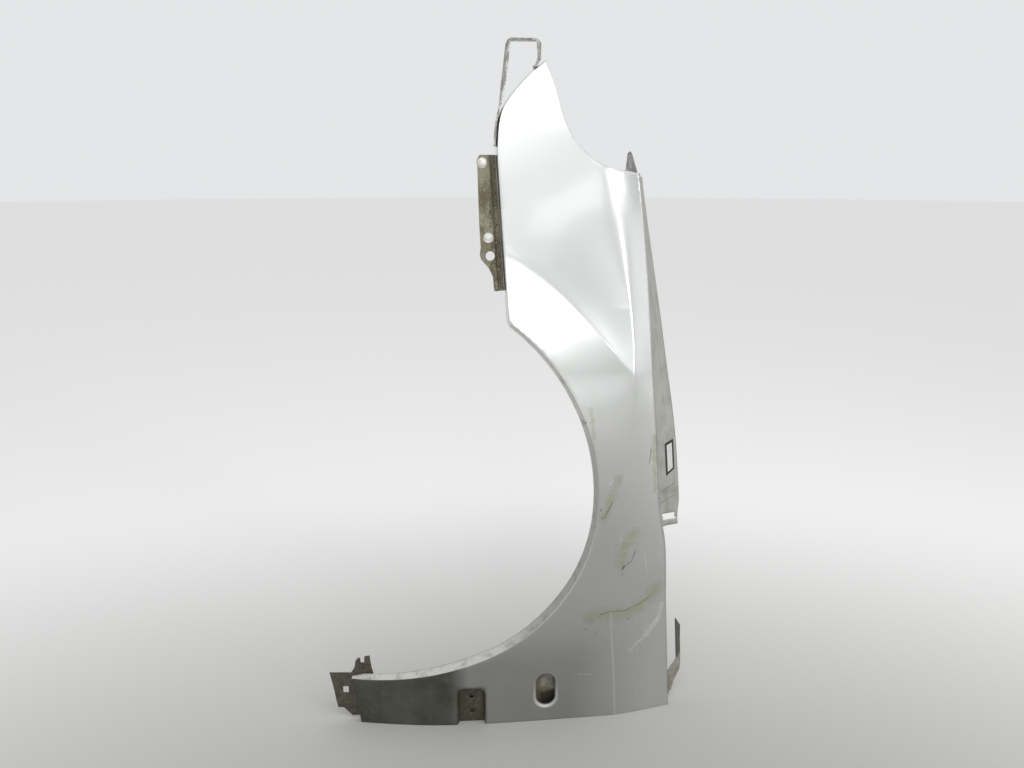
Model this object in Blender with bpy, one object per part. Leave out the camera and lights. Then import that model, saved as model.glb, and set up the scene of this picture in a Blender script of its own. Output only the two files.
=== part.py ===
# Left front fender of a passenger car, standing on its door edge.
# X runs from the sill up to the hood, Y runs inboard and Z runs forward along the car.
# Shares are parts of the panel height, so every curve of the panel follows that one length.

import math

import bmesh
import bpy
import numpy as np
from mathutils import Matrix, Vector
from mathutils.geometry import delaunay_2d_cdt

# Driving dimensions in metres
PANEL_HEIGHT = 1.10
SHEET = 0.0008
BEND = 0.0016
EDGE_STEP = 0.014
BLANK_STEP = 0.017
BLANK_CLEARANCE = 0.0094
JOIN_SHARE = 1e-6

# Flanges folded inboard from the edges of the skin
FRONT_FLANGE = 0.018
HEADLAMP_FLANGE = 0.014
ARCH_FLANGE = 0.019
ARCH_TAIL_FLANGE = 0.010
ARCH_TAIL_SHARES = (-0.06, -0.24)
TAIL_FLANGE = 0.010
HEM = 0.014
HOOD_WALL = 0.011
FRONT_LEAN = 0.003
ARCH_LEAN = 0.006

# Ledge that carries the hood seal
LEDGE_WIDTH = 0.042
LEDGE_END_WIDTH = 0.0315
LEDGE_FRONT_ANGLE = math.radians(14)
LEDGE_REAR_ANGLE = math.radians(68)
LEDGE_JOGGLE = 0.003
LEDGE_SLOT_LENGTH = 0.026
LEDGE_SLOT_WIDTH = 0.012
LEDGE_SLOT_REACH = 0.0172

# Oval hole of the side repeater
REPEATER_WIDTH = 0.032
REPEATER_LENGTH = 0.059
REPEATER_LIP = 0.005
REPEATER_LIP_MIDDLE = 0.003

# Pocket pressed in at the door edge
POCKET_WIDTH = 0.050
POCKET_LENGTH = 0.071
POCKET_RADIUS = 0.016
POCKET_DEPTH = 0.011
POCKET_WALL = 0.005
POCKET_HOLE_RADIUS = 0.0035
POCKET_HOLE_HEIGHTS = (0.020, 0.049)
POCKET_MIN_HEM = 0.003

# Bracket sheet and bar
BRACKET_SHEET = 0.0015
SEAT_GAP = 0.0003
GUIDE_DEPTH = 0.009
STRAP_THICKNESS = 0.0028
STRAP_WIDTH = 0.022
STRAP_SETBACK = 0.004
STRAP_FOOT = 0.005
STRAP_LEAN = 0.0055

# Bumper side bracket: section across, then its holes and bosses
BUMPER_STEP_DEPTH = 0.006
BUMPER_STEP_RUN = 0.0024
BUMPER_CHANNEL_DEPTH = 0.012
BUMPER_CHANNEL_WIDTH = 0.0075
BUMPER_HOLE_RADIUS = 0.0072
BUMPER_BOSS_RADIUS = 0.0088
BUMPER_BOSS_HEIGHT = 0.0042

# Sill bracket at the tail
SILL_HOLE_WIDTH = 0.0095
SILL_HOLE_LENGTH = 0.0123
SILL_BOLT_RADIUS = 0.0045
SILL_BOLT_HEIGHT = 0.0035

# Depths on the hood wall where the cowl bracket lies on it
COWL_SEAT_NEAR = 0.0027
COWL_SEAT_FAR = 0.0099

# Inner brace behind the repeater hole and the pocket
BRACE_SHEET = 0.0012
BRACE_LENGTH = 0.230
BRACE_HEIGHT = 0.107
BRACE_STEP = 0.0115
BRACE_STANDOFF = 0.021
BRACE_ROW_SHARES = (0.008, 0.112, 0.224, 0.766, 0.916, 1.0)
BRACE_LEFT_SHARE = 0.72

# Skin outline in shares of the panel height
TIP_SHARE = (0.0476, 1.0)
HEADLAMP_SHARES = (TIP_SHARE, (0.0604, 0.9681), (0.0748, 0.9189), (0.0929, 0.8865),
                   (0.1261, 0.8585), (0.1667, 0.8487), (0.1855, 0.8452))
FRONT_SHARES = (TIP_SHARE, (0.0251, 0.9816), (-0.0028, 0.9494), (-0.0155, 0.9232),
                (-0.0193, 0.8794), (-0.0168, 0.8345), (-0.0112, 0.7519), (-0.0035, 0.6395))
HOOD_SHARES = ((0.2545, 0.0), (0.2448, 0.1674), (0.2385, 0.2812), (0.2258, 0.3492),
               (0.2172, 0.4598), (0.2070, 0.5704), (0.1982, 0.6999), (0.1855, 0.8452))
TAIL_SHARES = ((-0.2496, 0.0757), (-0.2431, 0.0375), (-0.2376, 0.0))
HEM_FULL_SHARE = -0.15
LEDGE_END_SHARE = 0.308
LEDGE_TAPER_SHARE = 0.358
LEDGE_TOP_SHARE = 0.85
LEDGE_JOGGLE_SHARES = (0.36, 0.375)
LEDGE_SLOT_SHARE = 0.3240
SHOULDER_SHARES = ((0.1628, 0.0), (0.1515, 0.184), (0.1600, 0.330), (0.1760, 0.520),
                   (0.1770, 0.600), (0.1663, 0.694), (0.1433, 0.835), (0.1050, 1.0))
SCOOP_SHARES = ((0.1745, 0.5641), (0.1264, 0.6220), (0.0825, 0.6697), (0.0467, 0.7010),
                (0.0183, 0.7234), (-0.0098, 0.7402), (-0.120, 0.800))

# Wheel arch: three arcs that run into each other
ARCH_CENTRE_SHARE = (-0.2098, 0.3715)
ARCH_RADIUS_SHARES = (0.3401, 0.2744, 0.5442)
ARCH_ANGLES = tuple(math.radians(angle) for angle in (52.0, -5.0, -70.0, -90.0))

# Section of the pressed surface
WIDEST_SHARE = -0.118
OUTBOARD_SHARE = -0.0132
SECTION_ROUND_SHARE = 0.0788
SECTION_SLOPE_SHARE = 0.13
TOP_SLOPE_SHARES = (0.13, 0.50)
TOP_CURVE_SHARES = (0.61, 3.25)
FRONT_START_SHARE = 0.50
FRONT_CURVE_SHARE = 0.386
FLARE_SHARE = 0.0065
FLARE_WIDTH_SHARE = 0.070
SCOOP_DEPTH_SHARE = 0.0085
LINE_STEP_SHARE = 0.02
CREASE_SHARE = 0.0006
SOFT_CREASE_SHARE = 0.0050
DOOR_CREASE_SHARE = 0.0018
SOFT_SHOULDER_SHARE = 0.030

# Heights between which the section changes along the panel
TOP_TURN_SHARES = (0.09, 0.82)
SHOULDER_SOFTEN_SHARES = (0.184, 0.26)
SHOULDER_SHARPEN_SHARES = (0.46, 0.56)
FLARE_GROW_SHARES = (0.16, 0.40)
SCOOP_GROW_SHARES = (0.545, 0.74)
BLISTER_SOFTEN_SHARES = (0.62, 0.76)
SHOULDER_FOLD_SHARES = (0.01, 0.83)
BLISTER_FOLD_SHARES = (0.565, 0.735)

# Places of the features in the door-edge part of the skin
REPEATER_SHARE = (0.0531, 0.0540)
POCKET_SHARE = -0.0637

# Brackets in shares of the panel height
STRAP_LEG_SHARES = (0.8835, 0.8980, 0.9120, 0.9235)
STRAP_LOOP_SHARES = ((-0.0176, 0.9370), (-0.0146, 0.9465), (-0.0102, 0.9700),
                     (-0.0070, 0.9950), (-0.0034, 1.0290), (-0.0010, 1.0340),
                     (0.0340, 1.0340), (0.0366, 1.0305), (0.0380, 1.0080))
STRAP_LOOP_LEANS = (-0.2, -0.5, -1.0, -1.0, -1.0, -1.0, 1.0, 1.0, 0.6)
STRAP_END_SHARE = 0.9925
BUMPER_REACH_SHARES = ((0.6850, 0.0185), (0.7060, 0.0190), (0.7170, 0.0240), (0.7290, 0.0340),
                       (0.7350, 0.0352), (0.7440, 0.0335), (0.7800, 0.0335), (0.8660, 0.0305),
                       (0.8720, 0.0270))
BUMPER_BOSS_SHARES = ((-0.0425, 0.8615), (-0.0334, 0.7585))
BUMPER_HOLE_SHARE = (-0.0308, 0.7334)
SILL_SHARES = ((-0.2877, 0.0814), (-0.2538, 0.0814), (-0.2483, 0.0902), (-0.2459, 0.1025),
               (-0.2420, 0.1072), (-0.2386, 0.1072), (-0.2380, 0.0990), (-0.2325, 0.0990),
               (-0.2318, 0.1095), (-0.2237, 0.1113), (-0.2213, 0.0920), (-0.2182, 0.0779),
               (-0.2182, 0.0300), (-0.2300, 0.0059), (-0.2549, 0.0059), (-0.2676, 0.0198),
               (-0.2765, 0.0198), (-0.2791, 0.0317), (-0.2818, 0.0513))
SILL_HOLE_SHARE = (-0.2631, 0.0517)
SILL_BOLT_SHARE = (-0.2385, 0.0930)
COWL_ROW_SHARES = ((0.0180, 0.0052, 0.0135), (0.0283, 0.0120, 0.0250), (0.0442, 0.0235, 0.0345),
                   (0.0557, 0.0262, 0.0390))
COWL_TONGUE_SHARES = ((0.0670, 0.2712, 0.0710, 0.2812, 0.0910), (0.0907, 0.2698, 0.0725, 0.2798, 0.0925),
                      (0.1180, 0.2685, 0.0745, 0.2785, 0.0905), (0.1343, 0.2678, 0.0780, 0.2690, 0.0835))
COWL_BEND_SHARE = 0.4
TAB_BASE_SHARES = (0.1650, 0.1735, 0.1845)
TAB_INBOARD_SHARES = (0.0095, 0.0035, 0.0105)
TAB_APEX_SHARE = (0.1722, 0.8777)
TAB_APEX_WIDTH_SHARE = 0.0030


def clear_scene():
    for thing in list(bpy.data.objects):
        bpy.data.objects.remove(thing, do_unlink=True)


def material(name, colour, roughness, metallic):
    made = bpy.data.materials.new(name)
    made.use_nodes = True
    shader = made.node_tree.nodes["Principled BSDF"]
    shader.inputs["Base Color"].default_value = (*colour, 1.0)
    shader.inputs["Roughness"].default_value = roughness
    shader.inputs["Metallic"].default_value = metallic
    return made


def mesh_object(name, vertices, faces, look):
    mesh = bpy.data.meshes.new(name)
    mesh.from_pydata([tuple(vertex) for vertex in vertices], [], faces)
    mesh.update()
    made = bpy.data.objects.new(name, mesh)
    mesh.materials.append(look)
    bpy.context.collection.objects.link(made)
    return made


def smooth_step(low, high, value):
    share = np.clip((value - low) / (high - low), 0.0, 1.0)
    return share * share * (3.0 - 2.0 * share)


def curve_through(points, step):
    # A Catmull-Rom curve through the points, sampled at about one step
    knots = [Vector(point) for point in points]
    first = knots[0] * 2.0 - knots[1]
    last = knots[-1] * 2.0 - knots[-2]
    ends = [first, *knots, last]
    samples = []
    for before, start, stop, after in zip(ends, ends[1:], ends[2:], ends[3:]):
        count = max(1, round((stop - start).length / step))
        for index in range(count):
            t = index / count
            samples.append(0.5 * (2.0 * start + (stop - before) * t
                                  + (2.0 * before - 5.0 * start + 4.0 * stop - after) * t ** 2
                                  + (3.0 * start - before - 3.0 * stop + after) * t ** 3))
    samples.append(knots[-1])
    return samples


def scaled(shares):
    return [(x * PANEL_HEIGHT, z * PANEL_HEIGHT) for x, z in shares]


def arch_arcs():
    # Each arc starts where the one before ends, in the same direction
    centre = Vector(ARCH_CENTRE_SHARE) * PANEL_HEIGHT
    arcs = []
    radius_before = None
    for radius_share, start, stop in zip(ARCH_RADIUS_SHARES, ARCH_ANGLES, ARCH_ANGLES[1:]):
        radius = radius_share * PANEL_HEIGHT
        toward = Vector((math.cos(start), math.sin(start)))
        if radius_before is not None:
            centre = centre + toward * (radius_before - radius)
        arcs.append((centre, radius, start, stop))
        radius_before = radius
    return arcs


def arch_curve(step):
    samples = []
    for centre, radius, start, stop in arch_arcs():
        count = round(radius * (start - stop) / step)
        for index in range(count):
            angle = start + (stop - start) * index / count
            samples.append(centre + Vector((math.cos(angle), math.sin(angle))) * radius)
    centre, radius, start, stop = arch_arcs()[-1]
    samples.append(centre + Vector((math.cos(stop), math.sin(stop))) * radius)
    return samples


def crease_at(shares, z):
    heights = [share[1] * PANEL_HEIGHT for share in shares]
    places = [share[0] * PANEL_HEIGHT for share in shares]
    order = np.argsort(heights)
    return np.interp(z, np.array(heights)[order], np.array(places)[order])


def smooth_line(shares):
    # The curve as a finer list of shares, read by height
    return [tuple(point) for point in curve_through(shares, LINE_STEP_SHARE)]


SHOULDER_LINE = smooth_line(SHOULDER_SHARES)
SCOOP_LINE = smooth_line(SCOOP_SHARES)


def rounded_positive(value, softness):
    # The value above zero, nothing below, with a soft bend between
    return 0.5 * (value + np.sqrt(value ** 2 + softness ** 2)) - 0.5 * softness


def section_depth(x):
    round_length = SECTION_ROUND_SHARE * PANEL_HEIGHT
    offset = x - WIDEST_SHARE * PANEL_HEIGHT
    rise = SECTION_SLOPE_SHARE * (np.sqrt(round_length ** 2 + offset ** 2) - round_length)
    return OUTBOARD_SHARE * PANEL_HEIGHT + rise


def shoulder_depth(x, z):
    # The skin turns inboard above the crease: sharply near the door, softly further forward
    forward = smooth_step(*TOP_TURN_SHARES, z / PANEL_HEIGHT)
    slope = TOP_SLOPE_SHARES[0] + (TOP_SLOPE_SHARES[1] - TOP_SLOPE_SHARES[0]) * forward
    curve = TOP_CURVE_SHARES[0] + (TOP_CURVE_SHARES[1] - TOP_CURVE_SHARES[0]) * forward
    past_crease = smooth_step(*SHOULDER_SOFTEN_SHARES, z / PANEL_HEIGHT)
    before_scoop = 1.0 - smooth_step(*SHOULDER_SHARPEN_SHARES, z / PANEL_HEIGHT)
    softness = DOOR_CREASE_SHARE + SOFT_SHOULDER_SHARE * past_crease * before_scoop
    over = rounded_positive(x - crease_at(SHOULDER_LINE, z), softness * PANEL_HEIGHT)
    return slope * over + curve / PANEL_HEIGHT * over ** 2


def front_depth(z):
    over = np.maximum(z - FRONT_START_SHARE * PANEL_HEIGHT, 0.0)
    return FRONT_CURVE_SHARE / PANEL_HEIGHT * over ** 2


def flare_depth(x, z):
    centre, radius, _, _ = arch_arcs()[0]
    away = np.hypot(x - centre.x, z - centre.y) - radius
    fall = np.exp(-(away / (FLARE_WIDTH_SHARE * PANEL_HEIGHT)) ** 2)
    return -FLARE_SHARE * PANEL_HEIGHT * fall * smooth_step(*FLARE_GROW_SHARES, z / PANEL_HEIGHT)


def scoop_depth(x, z):
    # A shallow hollow between the shoulder and the wheel blister that ends in a point
    right = crease_at(SHOULDER_LINE, z)
    left = crease_at(SCOOP_LINE, z)
    width = np.maximum(right - left, JOIN_SHARE * PANEL_HEIGHT)
    across = (x - left) / width
    tallness = smooth_step(*SCOOP_GROW_SHARES, z / PANEL_HEIGHT)
    depth = SCOOP_DEPTH_SHARE * PANEL_HEIGHT * tallness * 4.0 * across * (1.0 - across)
    blister_softness = SOFT_CREASE_SHARE * smooth_step(*BLISTER_SOFTEN_SHARES, z / PANEL_HEIGHT)
    softness = CREASE_SHARE + blister_softness * np.clip(1.0 - across, 0.0, 1.0) ** 2
    inside = z > SCOOP_SHARES[0][1] * PANEL_HEIGHT
    return np.where(inside, rounded_positive(depth, softness * PANEL_HEIGHT), 0.0)


def pocket_distance(x, z):
    # How far a point lies inside the pocket rim, which is open at the door edge
    half = POCKET_WIDTH / 2.0
    side = np.abs(x - POCKET_SHARE * PANEL_HEIGHT) - (half - POCKET_RADIUS)
    top = z - (POCKET_LENGTH - POCKET_RADIUS)
    corner = np.hypot(np.maximum(side, 0.0), np.maximum(top, 0.0))
    return POCKET_RADIUS - corner - np.minimum(np.maximum(side, top), 0.0)


def repeater_distance(x, z):
    # How far a point lies from the straight middle line of the oval hole
    half_line = (REPEATER_LENGTH - REPEATER_WIDTH) / 2.0
    along = np.maximum(np.abs(z - REPEATER_SHARE[1] * PANEL_HEIGHT) - half_line, 0.0)
    return np.hypot(x - REPEATER_SHARE[0] * PANEL_HEIGHT, along)


def feature_depth(x, z):
    pocket = POCKET_DEPTH * np.clip(pocket_distance(x, z) / POCKET_WALL, 0.0, 1.0)
    outside = repeater_distance(x, z) - REPEATER_WIDTH / 2.0
    turned = np.clip(1.0 - outside / REPEATER_LIP, 0.0, 1.0)
    lip = REPEATER_LIP * (1.0 - np.sqrt(np.maximum(1.0 - turned ** 2, 0.0)))
    return pocket + lip


def body_depth(x, z):
    # The pressed skin without its pocket and hole
    body = section_depth(x) + shoulder_depth(x, z) + front_depth(z)
    return float(body + flare_depth(x, z) + scoop_depth(x, z))


def skin_depth(x, z):
    return body_depth(x, z) + feature_depth(x, z)


def skin_point(x, z):
    return Vector((x, float(skin_depth(x, z)), z))


def obround(width, length, count):
    # Outline round the middle line of the repeater hole
    half_line = (length - width) / 2.0
    centre = Vector(REPEATER_SHARE) * PANEL_HEIGHT
    outline = []
    for side in (1.0, -1.0):
        for index in range(count + 1):
            angle = math.pi * index / count + (0.0 if side > 0.0 else math.pi)
            reach = Vector((math.cos(angle), math.sin(angle))) * width / 2.0
            outline.append(centre + Vector((0.0, side * half_line)) + reach)
    return outline


def pocket_outline(inset):
    # Rim line of the pocket, from the door edge up, round the top and down again
    half = POCKET_WIDTH / 2.0 - inset
    top = POCKET_LENGTH - inset
    radius = POCKET_RADIUS - inset
    middle = POCKET_SHARE * PANEL_HEIGHT
    side_steps = 4
    side = [BEND + (top - radius - BEND) * index / side_steps for index in range(side_steps)]
    turn = [math.radians(18.0 * index) for index in range(6)]
    left = [Vector((middle - half, z)) for z in side]
    left += [Vector((middle - half + radius * (1.0 - math.cos(angle)),
                     top - radius * (1.0 - math.sin(angle)))) for angle in turn]
    right = [Vector((2.0 * middle - point.x, point.y)) for point in reversed(left)]
    return left + right


def door_edge():
    # From the tail to the hood corner, with a point at each line of the pocket
    left = TAIL_SHARES[-1][0] * PANEL_HEIGHT
    right = HOOD_SHARES[0][0] * PANEL_HEIGHT
    rim = pocket_outline(0.0)
    floor = pocket_outline(POCKET_WALL)
    stops = [left, rim[0].x, floor[0].x, floor[-1].x, rim[-1].x, right]
    edge = []
    for start, stop in zip(stops, stops[1:]):
        count = max(1, round((stop - start) / EDGE_STEP))
        edge += [Vector((start + (stop - start) * index / count, BEND)) for index in range(count)]
    edge.append(Vector((right, BEND)))
    return edge


def raised(points):
    # The curve with its low end lifted onto the bend of the door-edge hem
    return [(x, max(z, BEND)) for x, z in points]


def skin_edges():
    # The edges in order round the skin, each as (name, points)
    front = curve_through(scaled(FRONT_SHARES), EDGE_STEP)
    arch = arch_curve(EDGE_STEP)
    front[-1] = arch[0]
    tail = curve_through(raised(scaled(TAIL_SHARES)), EDGE_STEP)
    hood = curve_through(raised(scaled(HOOD_SHARES)), EDGE_STEP)
    headlamp = curve_through(scaled(HEADLAMP_SHARES), EDGE_STEP)
    return (("front", front), ("arch", arch + [tail[0]]), ("tail", tail),
            ("door", door_edge()), ("hood", hood), ("headlamp", headlamp[::-1]))


def skin_loop():
    # One closed loop of points with the edge each belongs to
    loop = []
    for name, points in skin_edges():
        loop += [(name, point) for point in points[:-1]]
    return loop


def inside_outline(points, outline):
    # Even and odd crossings of a ray along X
    inside = np.zeros(len(points), dtype=bool)
    for start, stop in zip(outline, outline[1:] + outline[:1]):
        crosses = (start.y > points[:, 1]) != (stop.y > points[:, 1])
        rise = stop.y - start.y if stop.y != start.y else 1.0
        at = start.x + (points[:, 1] - start.y) / rise * (stop.x - start.x)
        inside ^= crosses & (points[:, 0] < at)
    return inside


def far_from(points, lines, clearance):
    keep = np.ones(len(points), dtype=bool)
    for line in lines:
        for point in line:
            keep &= np.hypot(points[:, 0] - point.x, points[:, 1] - point.y) > clearance
    return keep


def lattice(outline):
    # Rows of points at 60 degrees that fill the outline
    low_x = min(point.x for point in outline)
    high_x = max(point.x for point in outline)
    high_z = max(point.y for point in outline)
    row_step = BLANK_STEP * math.sqrt(3.0) / 2.0
    rows = []
    for row in range(int(high_z / row_step) + 1):
        shift = BLANK_STEP / 2.0 * (row % 2)
        count = int((high_x - low_x) / BLANK_STEP) + 1
        rows += [(low_x + shift + BLANK_STEP * index, row * row_step) for index in range(count)]
    return np.array(rows)


def crease_points(shares, low_share, high_share):
    # Points along a crease, so that the blank folds on it
    line = [Vector(share) * PANEL_HEIGHT for share in smooth_line(shares)]
    return [point for point in line if low_share < point.y / PANEL_HEIGHT < high_share]


def blank():
    # The flat trimmed sheet: corner points and triangles, with the repeater hole open
    outline = [point for _, point in skin_loop()]
    lip = obround(REPEATER_WIDTH + 2.0 * REPEATER_LIP, REPEATER_LENGTH + 2.0 * REPEATER_LIP, 8)
    bend = obround(REPEATER_WIDTH + REPEATER_LIP_MIDDLE, REPEATER_LENGTH + REPEATER_LIP_MIDDLE, 8)
    hole = obround(REPEATER_WIDTH, REPEATER_LENGTH, 8)
    rim = pocket_outline(0.0)
    floor = pocket_outline(POCKET_WALL)
    shoulder = crease_points(SHOULDER_SHARES, *SHOULDER_FOLD_SHARES)
    blister = crease_points(SCOOP_SHARES, *BLISTER_FOLD_SHARES)
    lines = [outline, lip, bend, hole, rim, floor, shoulder, blister]
    field = lattice(outline)
    field = field[inside_outline(field, outline)]
    field = field[far_from(field, lines, BLANK_CLEARANCE)]
    corners = []
    edges = []
    for line, closed in zip(lines, (True, True, True, True, False, False, False, False)):
        start = len(corners)
        corners += line
        links = len(line) if closed else len(line) - 1
        edges += [(start + index, start + (index + 1) % len(line)) for index in range(links)]
    corners += [Vector(point) for point in field]
    flat = delaunay_2d_cdt(corners, edges, [], 0, PANEL_HEIGHT * JOIN_SHARE)
    points = flat[0]
    middles = np.array([sum((points[index] for index in face), Vector((0.0, 0.0))) / 3.0
                        for face in flat[2]])
    kept = inside_outline(middles, outline) & ~inside_outline(middles, hole)
    faces = [face for face, keep in zip(flat[2], kept) if keep]
    used = sorted({index for face in faces for index in face})
    place = {index: number for number, index in enumerate(used)}
    faces = [tuple(place[index] for index in face) for face in faces]
    return [points[index] for index in used], faces


def flange_of(edge, point):
    # How deep an edge is folded inboard and how far the fold leans out
    if edge == "arch":
        tail_share = smooth_step(*ARCH_TAIL_SHARES, point.x / PANEL_HEIGHT)
        return ARCH_FLANGE + (ARCH_TAIL_FLANGE - ARCH_FLANGE) * tail_share, ARCH_LEAN
    if edge == "door":
        pressed = float(feature_depth(point.x, point.y))
        grown = smooth_step(TAIL_SHARES[-1][0], HEM_FULL_SHARE, point.x / PANEL_HEIGHT)
        full = TAIL_FLANGE + (HEM - TAIL_FLANGE) * grown
        return max(full - pressed, POCKET_MIN_HEM), 0.0
    depths = {"front": FRONT_FLANGE, "tail": TAIL_FLANGE,
              "hood": HOOD_WALL, "headlamp": HEADLAMP_FLANGE}
    leans = {"front": FRONT_LEAN}
    return depths[edge], leans.get(edge, 0.0)


def outward(loop, index):
    # Direction in the sheet, away from the material, stretched at corners
    before = loop[index - 1][1]
    here = loop[index][1]
    after = loop[(index + 1) % len(loop)][1]
    first = (here - before).normalized()
    second = (after - here).normalized()
    normal = Vector((first.y + second.y, -first.x - second.x)).normalized()
    stretch = max(0.5, normal.dot(Vector((first.y, -first.x))))
    return normal / stretch


def fold_rows(loop):
    # Rows of the fold round the whole skin: bend middle, bend end and flange edge
    away = [outward(loop, index) for index in range(len(loop))]
    turn = -1.0 if signed_area([point for _, point in loop]) < 0.0 else 1.0
    rows = []
    half = math.sin(math.radians(45.0))
    for bend_out, bend_in, full in ((half, 1.0 - half, False), (1.0, 1.0, False), (1.0, 1.0, True)):
        row = []
        for (edge, point), direction in zip(loop, away):
            depth, lean = flange_of(edge, point)
            base = skin_point(point.x, point.y)
            out = bend_out * BEND + (lean if full else 0.0)
            inboard = depth if full else bend_in * BEND
            shift = direction * out * turn
            row.append(base + Vector((shift.x, inboard, shift.y)))
        rows.append(row)
    return rows


def signed_area(points):
    pairs = zip(points, points[1:] + points[:1])
    return 0.5 * sum(start.x * stop.y - stop.x * start.y for start, stop in pairs)


def ledge_angle(z):
    forward = smooth_step(LEDGE_END_SHARE, LEDGE_TOP_SHARE, z / PANEL_HEIGHT)
    return LEDGE_REAR_ANGLE + (LEDGE_FRONT_ANGLE - LEDGE_REAR_ANGLE) * forward


def ledge_rows(wall_row, numbers):
    # Two rows that carry the hood wall out into the ledge
    rows = []
    for share in (0.5, 1.0):
        row = []
        for number in numbers:
            start = wall_row[number]
            angle = ledge_angle(start.z)
            along = smooth_step(LEDGE_END_SHARE, LEDGE_TAPER_SHARE, start.z / PANEL_HEIGHT)
            width = share * (LEDGE_END_WIDTH + (LEDGE_WIDTH - LEDGE_END_WIDTH) * along)
            joggle = LEDGE_JOGGLE * (1.0 - smooth_step(*LEDGE_JOGGLE_SHARES, start.z / PANEL_HEIGHT))
            reach = Vector((math.sin(angle), math.cos(angle), 0.0)) * width
            row.append(start + reach + Vector((0.0, joggle, 0.0)))
        rows.append(row)
    return rows


def panel_mesh():
    loop = skin_loop()
    flat_points, faces = blank()
    vertices = [skin_point(point.x, point.y) for point in flat_points]
    ring = match_loop(loop, flat_points)
    rows = [ring]
    for row in fold_rows(loop):
        start = len(vertices)
        vertices += row
        rows.append(list(range(start, start + len(row))))
    for near, far in zip(rows, rows[1:]):
        faces += band(near, far, True)
    faces += add_ledge(loop, vertices, rows[-1])
    return vertices, faces


def match_loop(loop, flat_points):
    # Numbers of the blank's corners that lie on the outline
    numbers = []
    table = np.array([tuple(point) for point in flat_points])
    for _, point in loop:
        gap = np.hypot(table[:, 0] - point.x, table[:, 1] - point.y)
        numbers.append(int(np.argmin(gap)))
    return numbers


def band(near, far, closed):
    count = len(near) if closed else len(near) - 1
    faces = []
    for index in range(count):
        after = (index + 1) % len(near)
        faces.append((near[index], near[after], far[after], far[index]))
    return faces


def add_ledge(loop, vertices, wall):
    numbers = [index for index, (edge, point) in enumerate(loop)
               if edge == "hood" and point.y > LEDGE_END_SHARE * PANEL_HEIGHT]
    wall_row = [vertices[number] for number in wall]
    rows = [[wall[number] for number in numbers]]
    for row in ledge_rows(wall_row, numbers):
        start = len(vertices)
        vertices += row
        rows.append(list(range(start, start + len(row))))
    faces = []
    for near, far in zip(rows, rows[1:]):
        faces += band(near, far, False)
    return faces


def point_faces_out(thing):
    # Consistent normals, with the skin looking outboard
    mesh = bmesh.new()
    mesh.from_mesh(thing.data)
    bmesh.ops.recalc_face_normals(mesh, faces=mesh.faces)
    mesh.faces.ensure_lookup_table()
    total = sum(face.normal.y * face.calc_area() for face in mesh.faces)
    if total > 0.0:
        bmesh.ops.reverse_faces(mesh, faces=mesh.faces)
    mesh.to_mesh(thing.data)
    mesh.free()


def thicken(thing, thickness):
    # Sheet thickness grows away from the side that the normals look to
    solid = thing.modifiers.new("thickness", "SOLIDIFY")
    solid.thickness = thickness
    solid.offset = -1.0
    solid.use_rim = True


def cut(thing, cutter):
    # The cutter stays in the scene as a hidden wire guide
    cutter.hide_render = True
    cutter.display_type = "WIRE"
    step = thing.modifiers.new("cut", "BOOLEAN")
    step.operation = "DIFFERENCE"
    step.object = cutter
    step.solver = "EXACT"


def join(thing, addition):
    addition.hide_render = True
    addition.display_type = "WIRE"
    step = thing.modifiers.new("join", "BOOLEAN")
    step.operation = "UNION"
    step.object = addition
    step.solver = "EXACT"


def round_cutter(name, centre, radius, depth, look):
    # A short cylinder along Y
    corners = 16
    ring = [2.0 * math.pi * index / corners for index in range(corners)]
    vertices = []
    for side in (-1.0, 1.0):
        vertices += [(centre.x + radius * math.cos(angle), centre.y + side * depth / 2.0,
                      centre.z + radius * math.sin(angle)) for angle in ring]
    faces = [tuple(range(corners)), tuple(reversed(range(corners, 2 * corners)))]
    for index in range(corners):
        after = (index + 1) % corners
        faces.append((index, index + corners, after + corners, after))
    return closed_mesh(name, vertices, faces, look)


def block_cutter(name, centre, along, across, up, look):
    # A box from its middle and three half edges
    vertices = []
    for first in (-1.0, 1.0):
        for second in (-1.0, 1.0):
            vertices += [centre + along * first + across * second + up * third
                         for third in (-1.0, 1.0)]
    faces = [(0, 1, 3, 2), (4, 6, 7, 5), (0, 4, 5, 1), (2, 3, 7, 6), (0, 2, 6, 4), (1, 5, 7, 3)]
    return closed_mesh(name, vertices, faces, look)


def closed_mesh(name, vertices, faces, look):
    made = mesh_object(name, vertices, faces, look)
    shape = bmesh.new()
    shape.from_mesh(made.data)
    bmesh.ops.recalc_face_normals(shape, faces=shape.faces)
    shape.to_mesh(made.data)
    shape.free()
    return made


def dome(name, centre, radius, height, look):
    # A flattened ball, half of it standing proud of the sheet
    made = bpy.data.objects.new(name, bpy.data.meshes.new(name))
    bpy.context.collection.objects.link(made)
    made.data.materials.append(look)
    shape = bmesh.new()
    bmesh.ops.create_uvsphere(shape, u_segments=12, v_segments=8, radius=1.0)
    bmesh.ops.rotate(shape, verts=shape.verts, matrix=Matrix.Rotation(math.pi / 2.0, 3, "X"))
    bmesh.ops.scale(shape, verts=shape.verts, vec=(radius, height, radius))
    bmesh.ops.translate(shape, verts=shape.verts, vec=centre)
    shape.to_mesh(made.data)
    shape.free()
    return made


def sheet_part(name, rows, thickness, look):
    # A bent sheet from rows of points, with its thickness on both sides of them
    vertices = [point for row in rows for point in row]
    faces = []
    width = len(rows[0])
    for row in range(len(rows) - 1):
        near = list(range(row * width, (row + 1) * width))
        far = list(range((row + 1) * width, (row + 2) * width))
        faces += band(near, far, False)
    made = mesh_object(name, vertices, faces, look)
    point_faces_out(made)
    solid = made.modifiers.new("thickness", "SOLIDIFY")
    solid.thickness = thickness
    solid.offset = 0.0
    solid.use_even_offset = True
    return made


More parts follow.
